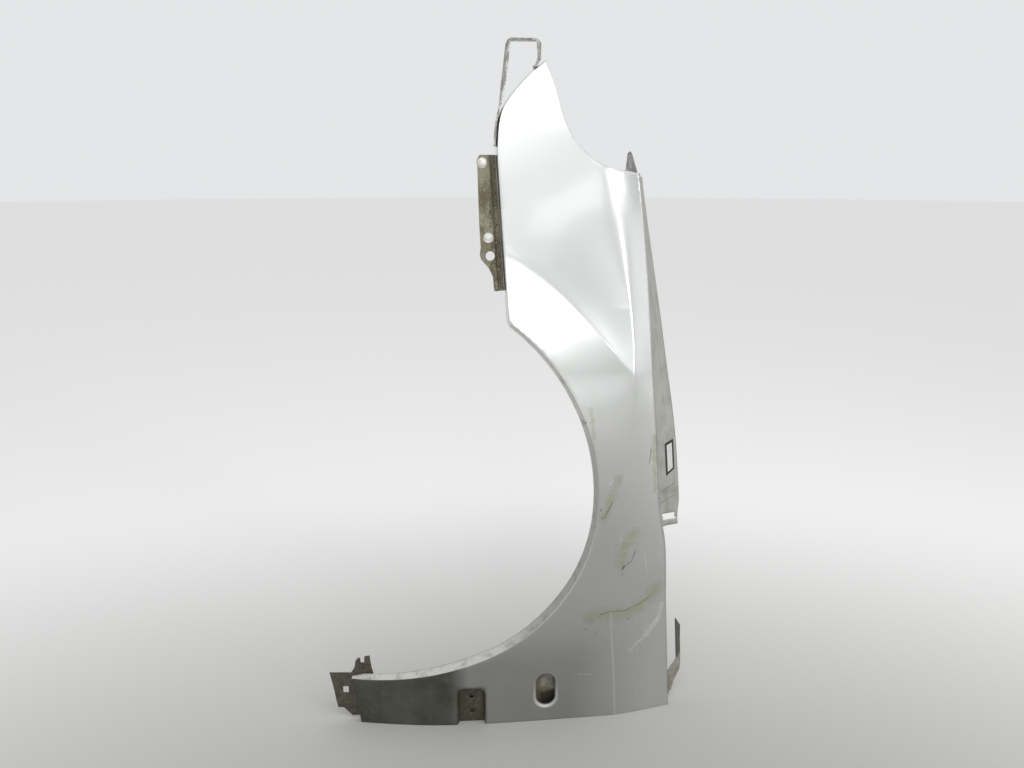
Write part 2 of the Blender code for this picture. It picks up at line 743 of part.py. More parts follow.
def front_edge_at(z):
    # Point on the front edge at a height and the direction away from the skin
    points = curve_through(scaled(FRONT_SHARES), EDGE_STEP)
    for above, below in zip(points, points[1:]):
        if below.y <= z <= above.y:
            share = (z - below.y) / (above.y - below.y)
            along = (below - above).normalized()
            return below.lerp(above, share), Vector((along.y, -along.x))
    raise ValueError("height is off the front edge")


def seat_offset(thickness):
    # From the front edge to the middle of a sheet that lies on the front flange
    return BEND + FRONT_LEAN + SEAT_GAP + thickness / 2.0


def strap_path():
    # Middle line of the bar: up the flange, round the loop and down to the tip
    path = []
    for share in STRAP_LEG_SHARES:
        edge, away = front_edge_at(share * PANEL_HEIGHT)
        path.append(edge + away * seat_offset(STRAP_THICKNESS))
    path += [Vector(point) for point in scaled(STRAP_LOOP_SHARES)]
    edge, away = front_edge_at(STRAP_END_SHARE * PANEL_HEIGHT)
    heel = edge + away * seat_offset(STRAP_THICKNESS)
    along = Vector((-away.y, away.x))
    path.append(heel)
    path.append(heel + along * STRAP_FOOT)
    return path


def strap_leans(path):
    # The bar lies flat on the flange and its inboard edge leans out round the loop
    before = [0.0] * len(STRAP_LEG_SHARES)
    after = [0.0] * (len(path) - len(before) - len(STRAP_LOOP_LEANS))
    return [*before, *STRAP_LOOP_LEANS, *after]


def headlamp_strap_bracket(look):
    rows = []
    path = strap_path()
    for point, lean in zip(path, strap_leans(path)):
        near = float(section_depth(point.x) + front_depth(point.y)) + STRAP_SETBACK
        rows.append([Vector((point.x, near, point.y)),
                     Vector((point.x + STRAP_LEAN * lean, near + STRAP_WIDTH, point.y))])
    return sheet_part("headlamp_strap_bracket", rows, STRAP_THICKNESS, look)


def bumper_row(z_share, reach_share):
    # Section of the bumper bracket: weld flange, channel, step and plate
    z = z_share * PANEL_HEIGHT
    edge, _ = front_edge_at(z)
    skin = float(skin_depth(edge.x, z))
    first = seat_offset(BRACKET_SHEET)
    channel_end = first + BUMPER_CHANNEL_WIDTH
    step_end = channel_end + BUMPER_STEP_RUN
    reach = max(reach_share * PANEL_HEIGHT, step_end + BUMPER_STEP_RUN)
    places = [(first, FRONT_FLANGE), (first + BRACKET_SHEET, BUMPER_CHANNEL_DEPTH),
              (channel_end, BUMPER_CHANNEL_DEPTH), (step_end, BUMPER_STEP_DEPTH),
              ((step_end + reach) / 2.0, BUMPER_STEP_DEPTH), (reach, BUMPER_STEP_DEPTH)]
    return [Vector((edge.x - out, skin + inboard, z)) for out, inboard in places]


def plate_depth(z):
    edge, _ = front_edge_at(z)
    return float(skin_depth(edge.x, z)) + BUMPER_STEP_DEPTH


def bumper_side_bracket(look):
    rows = [bumper_row(z_share, reach) for z_share, reach in BUMPER_REACH_SHARES]
    made = sheet_part("bumper_side_bracket", rows, BRACKET_SHEET, look)
    for number, (x_share, z_share) in enumerate(BUMPER_BOSS_SHARES):
        z = z_share * PANEL_HEIGHT
        centre = Vector((x_share * PANEL_HEIGHT, plate_depth(z), z))
        join(made, dome(f"bumper_boss_{number}", centre, BUMPER_BOSS_RADIUS,
                        BUMPER_BOSS_HEIGHT, look))
    z = BUMPER_HOLE_SHARE[1] * PANEL_HEIGHT
    centre = Vector((BUMPER_HOLE_SHARE[0] * PANEL_HEIGHT, plate_depth(z), z))
    cut(made, round_cutter("bumper_hole_guide", centre, BUMPER_HOLE_RADIUS,
                           GUIDE_DEPTH, look))
    return made


def sill_plate_middle():
    # The plate lies inboard of the tail edge fold
    tail = TAIL_SHARES[0]
    skin = float(section_depth(tail[0] * PANEL_HEIGHT))
    return skin + TAIL_FLANGE + SEAT_GAP * 2.0 + BRACKET_SHEET / 2.0


def flat_plate(name, outline, middle, thickness, look):
    # A plate across Y with the given outline
    count = len(outline)
    vertices = [Vector((x, middle - thickness / 2.0, z)) for x, z in outline]
    vertices += [Vector((x, middle + thickness / 2.0, z)) for x, z in outline]
    faces = [tuple(range(count)), tuple(reversed(range(count, 2 * count)))]
    for index in range(count):
        after = (index + 1) % count
        faces.append((index, index + count, after + count, after))
    return closed_mesh(name, vertices, faces, look)


def sill_bracket(look):
    middle = sill_plate_middle()
    made = flat_plate("sill_bracket", scaled(SILL_SHARES), middle, BRACKET_SHEET, look)
    hole = Vector((SILL_HOLE_SHARE[0], 0.0, SILL_HOLE_SHARE[1])) * PANEL_HEIGHT
    hole.y = middle
    cut(made, block_cutter("sill_hole_guide", hole, Vector((SILL_HOLE_WIDTH / 2.0, 0.0, 0.0)),
                           Vector((0.0, GUIDE_DEPTH / 2.0, 0.0)),
                           Vector((0.0, 0.0, SILL_HOLE_LENGTH / 2.0)), look))
    bolt = Vector((SILL_BOLT_SHARE[0], 0.0, SILL_BOLT_SHARE[1])) * PANEL_HEIGHT
    bolt.y = middle
    join(made, dome("sill_boss", bolt, SILL_BOLT_RADIUS, SILL_BOLT_HEIGHT, look))
    return made


def hood_edge_at(z):
    points = curve_through(scaled(HOOD_SHARES), EDGE_STEP)
    for below, above in zip(points, points[1:]):
        if below.y <= z <= above.y:
            share = (z - below.y) / (above.y - below.y)
            return below.lerp(above, share).x
    raise ValueError("height is off the hood edge")


def cowl_bracket(look):
    # A gusset on the hood-side fold that twists into an upright tongue
    rows = []
    for z_share, out, inboard in COWL_ROW_SHARES:
        z = z_share * PANEL_HEIGHT
        edge = hood_edge_at(z)
        skin = float(skin_depth(edge, z))
        seat = edge + BEND + SEAT_GAP * 2.0 + BRACKET_SHEET / 2.0
        rows.append([Vector((seat, skin + COWL_SEAT_NEAR, z)),
                     Vector((seat, skin + COWL_SEAT_FAR, z)),
                     Vector((seat + out * PANEL_HEIGHT, skin + inboard * PANEL_HEIGHT, z))])
    for z_share, near_x, near_y, far_x, far_y in COWL_TONGUE_SHARES:
        near = Vector((near_x, near_y, z_share)) * PANEL_HEIGHT
        far = Vector((far_x, far_y, z_share)) * PANEL_HEIGHT
        rows.append([near, near.lerp(far, COWL_BEND_SHARE), far])
    return sheet_part("cowl_bracket", rows, BRACKET_SHEET, look)


def headlamp_height(x):
    points = curve_through(scaled(HEADLAMP_SHARES), EDGE_STEP)
    for left, right in zip(points, points[1:]):
        if left.x <= x <= right.x:
            return left.lerp(right, (x - left.x) / (right.x - left.x)).y
    raise ValueError("place is off the headlamp edge")


def headlamp_corner_tab(look):
    # A folded gusset that stands on the headlamp return beside the hood corner
    base = []
    for x_share, inboard in zip(TAB_BASE_SHARES, TAB_INBOARD_SHARES):
        x = x_share * PANEL_HEIGHT
        edge = headlamp_height(x)
        z = edge + BEND + SEAT_GAP * 2.0
        base.append(Vector((x, float(skin_depth(x, edge)) + inboard * PANEL_HEIGHT, z)))
    apex = Vector((TAB_APEX_SHARE[0], 0.0, TAB_APEX_SHARE[1])) * PANEL_HEIGHT
    apex.y = base[1].y + TAB_INBOARD_SHARES[0] * PANEL_HEIGHT
    spread = TAB_APEX_WIDTH_SHARE * PANEL_HEIGHT
    top = [apex + Vector((-spread, spread, -spread)), apex, apex + Vector((spread, spread, -spread))]
    middle = [low.lerp(high, 0.5) for low, high in zip(base, top)]
    return sheet_part("headlamp_corner_tab", [base, middle, top], SHEET, look)


def arch_height(x):
    centre_height = ARCH_CENTRE_SHARE[1] * PANEL_HEIGHT
    points = sorted(tuple(point) for point in arch_curve(EDGE_STEP) if point.y < centre_height)
    return float(np.interp(x, [point[0] for point in points], [point[1] for point in points]))


def rear_inner_brace(look):
    # Pressed strip behind the lower skin: foot on the hem, standing-off web, upper weld flange
    seat = SHEET + SEAT_GAP * 2.0 + BRACE_SHEET / 2.0
    foot = HEM + SEAT_GAP * 2.0 + BRACE_SHEET / 2.0
    depths = (foot, foot, BRACE_STANDOFF, BRACE_STANDOFF, seat, seat)
    start = REPEATER_SHARE[0] * PANEL_HEIGHT - BRACE_LENGTH * BRACE_LEFT_SHARE
    count = round(BRACE_LENGTH / BRACE_STEP)
    rows = []
    for height_share, inboard in zip(BRACE_ROW_SHARES, depths):
        row = []
        for index in range(count + 1):
            x = start + BRACE_LENGTH * index / count
            room = min(1.0, (arch_height(x) - FRONT_FLANGE) / BRACE_HEIGHT)
            z = height_share * BRACE_HEIGHT * room
            row.append(Vector((x, body_depth(x, z) + inboard, z)))
        rows.append(row)
    return sheet_part("rear_inner_brace", rows, BRACE_SHEET, look)


def pocket_hole_guides(look):
    guides = []
    x = POCKET_SHARE * PANEL_HEIGHT
    for number, z in enumerate(POCKET_HOLE_HEIGHTS):
        centre = skin_point(x, z)
        guides.append(round_cutter(f"pocket_hole_guide_{number}", centre,
                                   POCKET_HOLE_RADIUS, POCKET_DEPTH, look))
    return guides


def ledge_slot_guide(look):
    z = LEDGE_SLOT_SHARE * PANEL_HEIGHT
    edge = hood_edge_at(z)
    angle = ledge_angle(z)
    out = Vector((math.sin(angle), math.cos(angle), 0.0))
    wall = Vector((edge + BEND, float(skin_depth(edge, z)) + HOOD_WALL + LEDGE_JOGGLE / 2.0, z))
    centre = wall + out * LEDGE_SLOT_REACH
    normal = Vector((out.y, -out.x, 0.0))
    return block_cutter("ledge_slot_guide", centre, out * LEDGE_SLOT_LENGTH / 2.0,
                        normal * LEDGE_JOGGLE * 2.0,
                        Vector((0.0, 0.0, LEDGE_SLOT_WIDTH / 2.0)), look)


def fender_panel(look):
    vertices, faces = panel_mesh()
    panel = mesh_object("fender_panel", vertices, faces, look)
    point_faces_out(panel)
    panel.data.shade_smooth()
    panel.data.set_sharp_from_angle(angle=math.radians(35.0))
    thicken(panel, SHEET)
    cut(panel, ledge_slot_guide(look))
    for guide in pocket_hole_guides(look):
        cut(panel, guide)
    return panel


def centre_on_frame():
    # The frame's origin is the middle of the part's footprint, at its lowest point
    bpy.context.view_layer.update()
    graph = bpy.context.evaluated_depsgraph_get()
    corners = []
    for thing in bpy.data.objects:
        if thing.type == "MESH" and not thing.hide_render:
            shape = thing.evaluated_get(graph)
            corners += [Vector(corner) for corner in shape.bound_box]
    low = Vector([min(corner[axis] for corner in corners) for axis in range(3)])
    high = Vector([max(corner[axis] for corner in corners) for axis in range(3)])
    frame = bpy.data.objects.new("frame", None)
    bpy.context.collection.objects.link(frame)
    for thing in bpy.data.objects:
        if thing.type == "MESH":
            thing.parent = frame
    frame.location = (-(low.x + high.x) / 2.0, -(low.y + high.y) / 2.0, -low.z)


def build():
    clear_scene()
    silver = material("silver_paint", (0.60, 0.61, 0.60), 0.32, 0.7)
    galvanised = material("soiled_galvanised_steel", (0.30, 0.27, 0.22), 0.62, 0.5)
    blackened = material("soiled_dark_steel", (0.12, 0.11, 0.09), 0.70, 0.3)
    fender_panel(silver)
    headlamp_strap_bracket(galvanised)
    bumper_side_bracket(galvanised)
    sill_bracket(blackened)
    cowl_bracket(galvanised)
    headlamp_corner_tab(galvanised)
    rear_inner_brace(galvanised)
    centre_on_frame()


build()
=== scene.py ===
# Looks of the left front fender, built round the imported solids.
# X runs from the sill up to the hood, Y runs inboard and Z runs forward along the car.

import functools
import math

import bmesh
import bpy
import numpy as np
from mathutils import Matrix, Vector
from mathutils.bvhtree import BVHTree
from mathutils.geometry import delaunay_2d_cdt


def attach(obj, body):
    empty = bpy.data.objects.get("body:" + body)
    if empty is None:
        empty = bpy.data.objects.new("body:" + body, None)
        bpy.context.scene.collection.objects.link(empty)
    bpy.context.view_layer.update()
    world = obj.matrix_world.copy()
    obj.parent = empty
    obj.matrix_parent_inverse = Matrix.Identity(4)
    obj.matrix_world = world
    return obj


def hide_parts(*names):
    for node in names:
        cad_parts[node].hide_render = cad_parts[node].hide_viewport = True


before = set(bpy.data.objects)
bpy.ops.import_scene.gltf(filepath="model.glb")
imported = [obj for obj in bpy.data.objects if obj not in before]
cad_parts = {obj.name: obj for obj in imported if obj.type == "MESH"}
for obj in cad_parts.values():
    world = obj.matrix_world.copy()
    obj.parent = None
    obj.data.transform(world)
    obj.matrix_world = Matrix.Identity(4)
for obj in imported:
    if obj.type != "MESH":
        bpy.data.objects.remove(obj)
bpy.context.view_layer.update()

# Driving dimensions in metres, the same as in the part's solids
PANEL_HEIGHT = 1.10
SHEET = 0.0008
BEND = 0.0016
EDGE_STEP = 0.0042
FIELD_STEP = 0.0046
FIELD_CLEARANCE = 0.0026
JOIN_SHARE = 1e-6
FRAME_SHIFT = Vector((0.003252, -0.066134, 0.0))

# Flanges folded inboard from the edges of the skin
FRONT_FLANGE = 0.018
HEADLAMP_FLANGE = 0.014
ARCH_FLANGE = 0.019
ARCH_TAIL_FLANGE = 0.010
ARCH_TAIL_SHARES = (-0.06, -0.24)
TAIL_FLANGE = 0.010
HEM = 0.014
HOOD_WALL = 0.011
FRONT_LEAN = 0.003
ARCH_LEAN = 0.006
FOLD_STEPS = 5
FLANGE_STEPS = 3
LIP_START_ROW = 3
CORNER_LIMIT = 0.5
SHARP_ANGLE = math.radians(50.0)

# Ledge that carries the hood seal
LEDGE_WIDTH = 0.042
LEDGE_END_WIDTH = 0.0315
LEDGE_FRONT_ANGLE = math.radians(14)
LEDGE_REAR_ANGLE = math.radians(68)
LEDGE_JOGGLE = 0.003
LEDGE_SLOT_LENGTH = 0.026
LEDGE_SLOT_WIDTH = 0.012
LEDGE_SLOT_REACH = 0.0172
LEDGE_STEPS = 12

# Oval hole of the side repeater
REPEATER_WIDTH = 0.032
REPEATER_LENGTH = 0.059
REPEATER_HALF_LINE = (REPEATER_LENGTH - REPEATER_WIDTH) / 2.0
REPEATER_LIP = 0.005
REPEATER_RING_SHARES = (0.0, 0.10, 0.26, 0.5, 0.75, 1.0)
REPEATER_END_STEPS = 20

# Pocket pressed in at the door edge
POCKET_WIDTH = 0.050
POCKET_LENGTH = 0.071
POCKET_RADIUS = 0.016
POCKET_DEPTH = 0.011
POCKET_WALL = 0.005
POCKET_HOLE_RADIUS = 0.0035
POCKET_HOLE_HEIGHTS = (0.020, 0.049)
POCKET_HOLE_CORNERS = 16
POCKET_TURN_STEPS = 8
POCKET_MIN_HEM = 0.003
POCKET_RING_SHARES = (0.0, 0.2, 0.5, 0.8, 1.0)

# Skin outline in shares of the panel height
TIP_SHARE = (0.0476, 1.0)
HEADLAMP_SHARES = (TIP_SHARE, (0.0604, 0.9681), (0.0748, 0.9189), (0.0929, 0.8865),
                   (0.1261, 0.8585), (0.1667, 0.8487), (0.1855, 0.8452))
FRONT_SHARES = (TIP_SHARE, (0.0251, 0.9816), (-0.0028, 0.9494), (-0.0155, 0.9232),
                (-0.0193, 0.8794), (-0.0168, 0.8345), (-0.0112, 0.7519), (-0.0035, 0.6395))
HOOD_SHARES = ((0.2545, 0.0), (0.2448, 0.1674), (0.2385, 0.2812), (0.2258, 0.3492),
               (0.2172, 0.4598), (0.2070, 0.5704), (0.1982, 0.6999), (0.1855, 0.8452))
TAIL_SHARES = ((-0.2496, 0.0757), (-0.2431, 0.0375), (-0.2376, 0.0))
HEM_FULL_SHARE = -0.15
LEDGE_END_SHARE = 0.308
LEDGE_TAPER_SHARE = 0.358
LEDGE_TOP_SHARE = 0.85
LEDGE_JOGGLE_SHARES = (0.36, 0.375)
LEDGE_SLOT_SHARE = 0.3240
SHOULDER_SHARES = ((0.1628, 0.0), (0.1515, 0.184), (0.1600, 0.330), (0.1760, 0.520),
                   (0.1770, 0.600), (0.1663, 0.694), (0.1433, 0.835), (0.1050, 1.0))
SCOOP_SHARES = ((0.1745, 0.5641), (0.1264, 0.6220), (0.0825, 0.6697), (0.0467, 0.7010),
                (0.0183, 0.7234), (-0.0098, 0.7402), (-0.120, 0.800))

# Wheel arch: three arcs that run into each other
ARCH_CENTRE_SHARE = (-0.2098, 0.3715)
ARCH_RADIUS_SHARES = (0.3401, 0.2744, 0.5442)
ARCH_ANGLES = tuple(math.radians(angle) for angle in (52.0, -5.0, -70.0, -90.0))

# Section of the pressed surface
WIDEST_SHARE = -0.118
OUTBOARD_SHARE = -0.0132
SECTION_ROUND_SHARE = 0.0788
SECTION_SLOPE_SHARE = 0.13
TOP_SLOPE_SHARES = (0.13, 0.50)
TOP_CURVE_SHARES = (0.61, 3.25)
FRONT_START_SHARE = 0.50
FRONT_CURVE_SHARE = 0.386
FLARE_SHARE = 0.0065
FLARE_WIDTH_SHARE = 0.070
SCOOP_DEPTH_SHARE = 0.0080
BLISTER_SHARE = 0.0068
BLISTER_WIDTH_SHARE = 0.075
BLISTER_REACH_SHARE = 0.085
BLISTER_FALL = 1.5
BLISTER_ROUND = 0.06
BLISTER_TOP_ROUND = 0.35
LINE_STEP_SHARE = 0.004
CREASE_SHARE = 0.0016
SOFT_CREASE_SHARE = 0.0050
DOOR_CREASE_SHARE = 0.0022
SOFT_SHOULDER_SHARE = 0.030
SOFT_TOP_SHARE = 0.012
CREASE_OFFSETS = (-0.0045, -0.002, 0.0, 0.002, 0.0045)

# Heights between which the section changes along the panel
TOP_TURN_SHARES = (0.09, 0.82)
SHOULDER_SOFTEN_SHARES = (0.184, 0.26)
SHOULDER_SHARPEN_SHARES = (0.46, 0.56)
SHOULDER_FADE_SHARES = (0.66, 0.80)
FLARE_GROW_SHARES = (0.16, 0.40)
SCOOP_GROW_SHARES = (0.64, 0.90)
BLISTER_GROW_SHARES = (0.34, 0.62)
BLISTER_FADE_SHARES = (0.74, 0.92)
BLISTER_SOFTEN_SHARES = (0.62, 0.76)
SHOULDER_FOLD_SHARES = (0.012, 0.83)
BLISTER_FOLD_SHARES = (0.569, 0.735)

# Places of the features in the door-edge part of the skin
REPEATER_SHARE = (0.0531, 0.0540)
POCKET_SHARE = -0.0637

# Soft lamps: azimuth from the viewer and elevation in degrees, distance, size, radiance
LAMP_AIM = Vector((0.1, 0.0, 0.75))
LAMP_SPREAD = math.radians(110.0)
LAMPS = (
    ("window", 9.0, 5.0, 3.4, (0.74, 0.86), 2.6),
    ("sash", 28.5, 0.5, 3.4, (0.16, 0.20), 5.0),
    ("side window", 47.0, 7.0, 3.2, (0.20, 1.40), 4.0),
    ("side wall", 80.0, 4.0, 3.2, (1.30, 1.80), 0.20),
    ("upper wall", 56.0, 33.0, 3.2, (2.30, 0.75), 0.85),
    ("overhead", 4.0, 53.0, 3.2, (2.20, 1.10), 1.1),
    ("skylight", 14.0, 28.5, 3.4, (0.80, 0.40), 0.55),
)

# Marks on the paint as lines of (x, z) in metres, seen from outboard
OLIVE_SMEARS = (
    (((0.1779, 0.4436), (0.1550, 0.3735)), 0.0115),
    (((0.2400, 0.5060), (0.2418, 0.4563)), 0.0110),
    (((0.2418, 0.4563), (0.2438, 0.4118)), 0.0060),
    (((0.1285, 0.5650), (0.1368, 0.5170)), 0.0050),
    (((0.2074, 0.3416), (0.1886, 0.3150), (0.1877, 0.2897)), 0.0170),
    (((0.1367, 0.1935), (0.1550, 0.1945), (0.1726, 0.1975), (0.1979, 0.1955), (0.2236, 0.2040),
      (0.2437, 0.2190), (0.2540, 0.2330)), 0.0200),
)
PALE_SCRATCHES = (
    (((0.1635, 0.4397), (0.1645, 0.4370)), 0.0035),
    (((0.2405, 0.4597), (0.2394, 0.4622)), 0.0028),
    (((0.2363, 0.4681), (0.2339, 0.4527)), 0.0012),
    (((0.1864, 0.3378), (0.1818, 0.3148)), 0.0016),
    (((0.2046, 0.3203), (0.2015, 0.3080)), 0.0012),
    (((0.1795, 0.2772), (0.1864, 0.2828)), 0.0010),
    (((0.2235, 0.3151), (0.2306, 0.2973), (0.2366, 0.2580)), 0.0011),
    (((0.1395, 0.1945), (0.1550, 0.1955)), 0.0010),
    (((0.1713, 0.1054), (0.1716, 0.1060)), 0.0020),
    (((0.1708, 0.1169), (0.1710, 0.1175)), 0.0016),
    (((0.2600, 0.1760), (0.2368, 0.1466)), 0.0085),
    (((0.2652, 0.2006), (0.2600, 0.1760)), 0.0060),
    (((0.2368, 0.1466), (0.2080, 0.1220)), 0.0045),
    (((0.2362, 0.1642), (0.2291, 0.1539)), 0.0012),
    (((0.1197, 0.0859), (0.1408, 0.0842)), 0.0014),
)
DARK_LINES = (
    (((0.1695, 0.4054), (0.1558, 0.3772)), 0.0010),
    (((0.1492, 0.3923), (0.1496, 0.3915)), 0.0020),
    (((0.1520, 0.3779), (0.1524, 0.3770)), 0.0018),
    (((0.1206, 0.5444), (0.1209, 0.5436)), 0.0022),
    (((0.1250, 0.5237), (0.1253, 0.5230)), 0.0020),
    (((0.2335, 0.4906), (0.2312, 0.4655)), 0.0010),
    (((0.2126, 0.3112), (0.2059, 0.2918), (0.1969, 0.2858)), 0.0011),
    (((0.1934, 0.2845), (0.1905, 0.2800)), 0.0026),
    (((0.1903, 0.2698), (0.1905, 0.2690)), 0.0018),
    (((0.1550, 0.1974), (0.1726, 0.2019), (0.1979, 0.1998), (0.2236, 0.2087), (0.2419, 0.2188)),
     0.0009),
    (((0.2033, 0.1825), (0.2036, 0.1820)), 0.0018),
    (((0.1285, 0.1718), (0.1288, 0.1712)), 0.0014),
    (((0.1469, 0.1642), (0.1472, 0.1636)), 0.0013),
)
# Painted highlight along the door-side crease, as a line of (x, z) and its half width
DOOR_CREASE_HIGHLIGHT_LINE = (((0.1726, 0.2019), (0.1759, 0.1434), (0.1819, 0.0632), (0.1849, 0.0011)),
                    0.0026)

# Painted shade along the bend of the hood edge
HOOD_BEND_SHADE_LINE = (tuple((x * PANEL_HEIGHT + FRAME_SHIFT.x + BEND / 2.0, z * PANEL_HEIGHT)
                        for x, z in HOOD_SHARES), 0.0026)

# Places of the mud and painted shade in the pocket, the bare rim and the bosses in metres, seen
# from outboard
POCKET_MUD_SHADE_PLACE = (-0.0668, 0.0300)
POCKET_MUD_SHADE_HALF = (0.0250, 0.0410)
POCKET_MUD_SHADE_SOFTNESS = 0.16
REPEATER_PLACE = (0.0617, 0.0594)
RIM_OUTER_FADE = (0.0225, 0.0205)
RIM_INNER_FADE = (0.0150, 0.0168)
BUMPER_BOSSES = ((-0.0435, 0.9477), (-0.0335, 0.8344))
BUMPER_BOSS_RADIUS = 0.0095
SPOT_CORE_SHARE = 0.6

# Where other dirt, wear and painted shade set in, each from none to full, in metres
GRIME_SHADE_HEIGHTS = (0.25, 0.10)
GRIME_SHADE_TAIL_REACH = (-0.01, -0.11)
GRIME_SHADE_MIDDLE_REACH = (0.26, 0.09)
GRIME_SHADE_MIDDLE_SHARE = 0.66
LIP_PALE_REACH = (0.08, -0.04)
LIP_PALE_HEIGHTS = (0.45, 0.58)
INNER_DIRT_HEIGHTS = (0.55, 0.05)
BUMPER_CHANNEL_REACH = (-0.0340, -0.0290)
BRACE_SHADE_HEIGHTS = (0.062, 0.052)
BRACE_MUD_REACH = (0.064, 0.054)
COWL_STRIP_HEIGHTS = (0.072, 0.080)

# How far noise pushes the edges of strokes, dirt and painted shade about
BRACE_SHADE_PUSH = 0.02
BRACE_MUD_PUSH = 0.012
RAGGED_PUSH = 0.013
FINE_PUSH = 0.0022
STEP_LINE_PUSH = 0.0012

# Heights of the fine grain of each surface
FLAKE_BUMP = 0.000001
DULL_PAINT_BUMP = 0.00005
INNER_BUMP = 0.0002
COWL_BUMP = 0.0005
STEEL_BUMP = 0.0006
CRUST_BUMP = 0.0008

# The floor, with the middle and reach of its painted shade before the skin
FLOOR_RADIUS = 30.0
FLOOR_CORNERS = 72
FLOOR_SHADE_PLACE = (0.1, -0.55, 0.0)
FLOOR_SHADE_STRETCH = (0.7, 1.0, 1.0)
FLOOR_SHADE_REACH = (0.20, 1.7)

# Colour of the studio air and its strength from behind the skin to before it
AIR_COLOUR = (0.93, 0.94, 0.95)
AIR_STRENGTH = {"From Min": 0.35, "From Max": -0.35, "To Min": 0.84, "To Max": 0.86}

# Camera of the photo's view
CAMERA_LENS = 30.6
CAMERA_SENSOR = 36.0
CAMERA_PLACE = (0.0033, -1.4061, 0.936)
CAMERA_TURN = (math.radians(76.2), 0.0, 0.0)

# Painted shade along the lines pressed across the low end of the ledge
LEDGE_STEP_SHADE_LINES = (
    (((0.2560, 0.4042), (0.2808, 0.4166)), 0.0012),
    (((0.2570, 0.3833), (0.2824, 0.3941)), 0.0012),
)

# Plain sticker on the ledge: its corners in the XZ plane, its lift and its printed frame
LABEL_CORNERS = ((0.2600, 0.4893), (0.2759, 0.4954), (0.2798, 0.4426), (0.2654, 0.4318))
LABEL_LIFT = 0.0005
LABEL_STEPS = 12
LABEL_RAY_START = -1.0
LABEL_FRAME_SHARE = 0.20
LABEL_GRID = (5.0, 12.0)
LABEL_LINE_SHARE = 0.24


def smooth_step(low, high, value):
    share = np.clip((value - low) / (high - low), 0.0, 1.0)
    return share * share * (3.0 - 2.0 * share)


def curve_through(points, step):
    # A Catmull-Rom curve through the points, sampled at about one step
    knots = [Vector(point) for point in points]
    first = knots[0] * 2.0 - knots[1]
    last = knots[-1] * 2.0 - knots[-2]
    ends = [first, *knots, last]
    samples = []
    for before, start, stop, after in zip(ends, ends[1:], ends[2:], ends[3:]):
        count = max(1, round((stop - start).length / step))
        for index in range(count):
            t = index / count
            samples.append(0.5 * (2.0 * start + (stop - before) * t
                                  + (2.0 * before - 5.0 * start + 4.0 * stop - after) * t ** 2
                                  + (3.0 * start - before - 3.0 * stop + after) * t ** 3))
    samples.append(knots[-1])
    return samples


def direction(angle):
    return Vector((math.cos(angle), math.sin(angle)))


def scaled(shares):
    return [(x * PANEL_HEIGHT, z * PANEL_HEIGHT) for x, z in shares]


def arch_arcs():
    # Each arc starts where the one before ends, in the same direction
    centre = Vector(ARCH_CENTRE_SHARE) * PANEL_HEIGHT
    arcs = []
    radius_before = None
    for radius_share, start, stop in zip(ARCH_RADIUS_SHARES, ARCH_ANGLES, ARCH_ANGLES[1:]):
        radius = radius_share * PANEL_HEIGHT
        if radius_before is not None:
            centre = centre + direction(start) * (radius_before - radius)
        arcs.append((centre, radius, start, stop))
        radius_before = radius
    return arcs


def arch_curve(step):
    samples = []
    for centre, radius, start, stop in arch_arcs():
        count = round(radius * (start - stop) / step)
        for index in range(count):
            angle = start + (stop - start) * index / count
            samples.append(centre + direction(angle) * radius)
    return samples


def crease_at(shares, z):
    places, heights = np.array(sorted(shares, key=lambda share: share[1])).T
    return np.interp(z, heights, places)


def smooth_line(shares):
    # The curve as a finer list of shares, read by height
    return [tuple(point) for point in curve_through(shares, LINE_STEP_SHARE)]


SHOULDER_LINE = smooth_line(SHOULDER_SHARES)
SCOOP_LINE = smooth_line(SCOOP_SHARES)


# Depth of the pressed body, in shares of the panel height as x and z are

def rounded_positive(value, softness):
    # The value above zero, nothing below, with a soft bend between
    return 0.5 * (value + np.sqrt(value ** 2 + softness ** 2)) - 0.5 * softness


def section_depth(x):
    rise = np.hypot(SECTION_ROUND_SHARE, x - WIDEST_SHARE) - SECTION_ROUND_SHARE
    return OUTBOARD_SHARE + SECTION_SLOPE_SHARE * rise


def shoulder_depth(x, z):
    # The skin turns inboard above the crease: sharply near the door, softly further forward
    forward = smooth_step(*TOP_TURN_SHARES, z)
    slope = TOP_SLOPE_SHARES[0] + (TOP_SLOPE_SHARES[1] - TOP_SLOPE_SHARES[0]) * forward
    curve = TOP_CURVE_SHARES[0] + (TOP_CURVE_SHARES[1] - TOP_CURVE_SHARES[0]) * forward
    past_crease = smooth_step(*SHOULDER_SOFTEN_SHARES, z)
    before_scoop = 1.0 - smooth_step(*SHOULDER_SHARPEN_SHARES, z)
    softness = DOOR_CREASE_SHARE + SOFT_SHOULDER_SHARE * past_crease * before_scoop
    softness = softness + SOFT_TOP_SHARE * smooth_step(*SHOULDER_FADE_SHARES, z)
    over = rounded_positive(x - crease_at(SHOULDER_LINE, z), softness)
    return slope * over + curve * over ** 2


def front_depth(z):
    return FRONT_CURVE_SHARE * np.maximum(z - FRONT_START_SHARE, 0.0) ** 2


def flare_depth(x, z):
    centre_x, centre_z = ARCH_CENTRE_SHARE
    away = np.hypot(x - centre_x, z - centre_z) - ARCH_RADIUS_SHARES[0]
    fall = np.exp(-(away / FLARE_WIDTH_SHARE) ** 2)
    return -FLARE_SHARE * fall * smooth_step(*FLARE_GROW_SHARES, z)


def scoop_span(z):
    # Both side lines of the scoop and the width between them
    left = crease_at(SCOOP_LINE, z)
    right = crease_at(SHOULDER_LINE, z)
    return left, right, np.maximum(right - left, JOIN_SHARE)


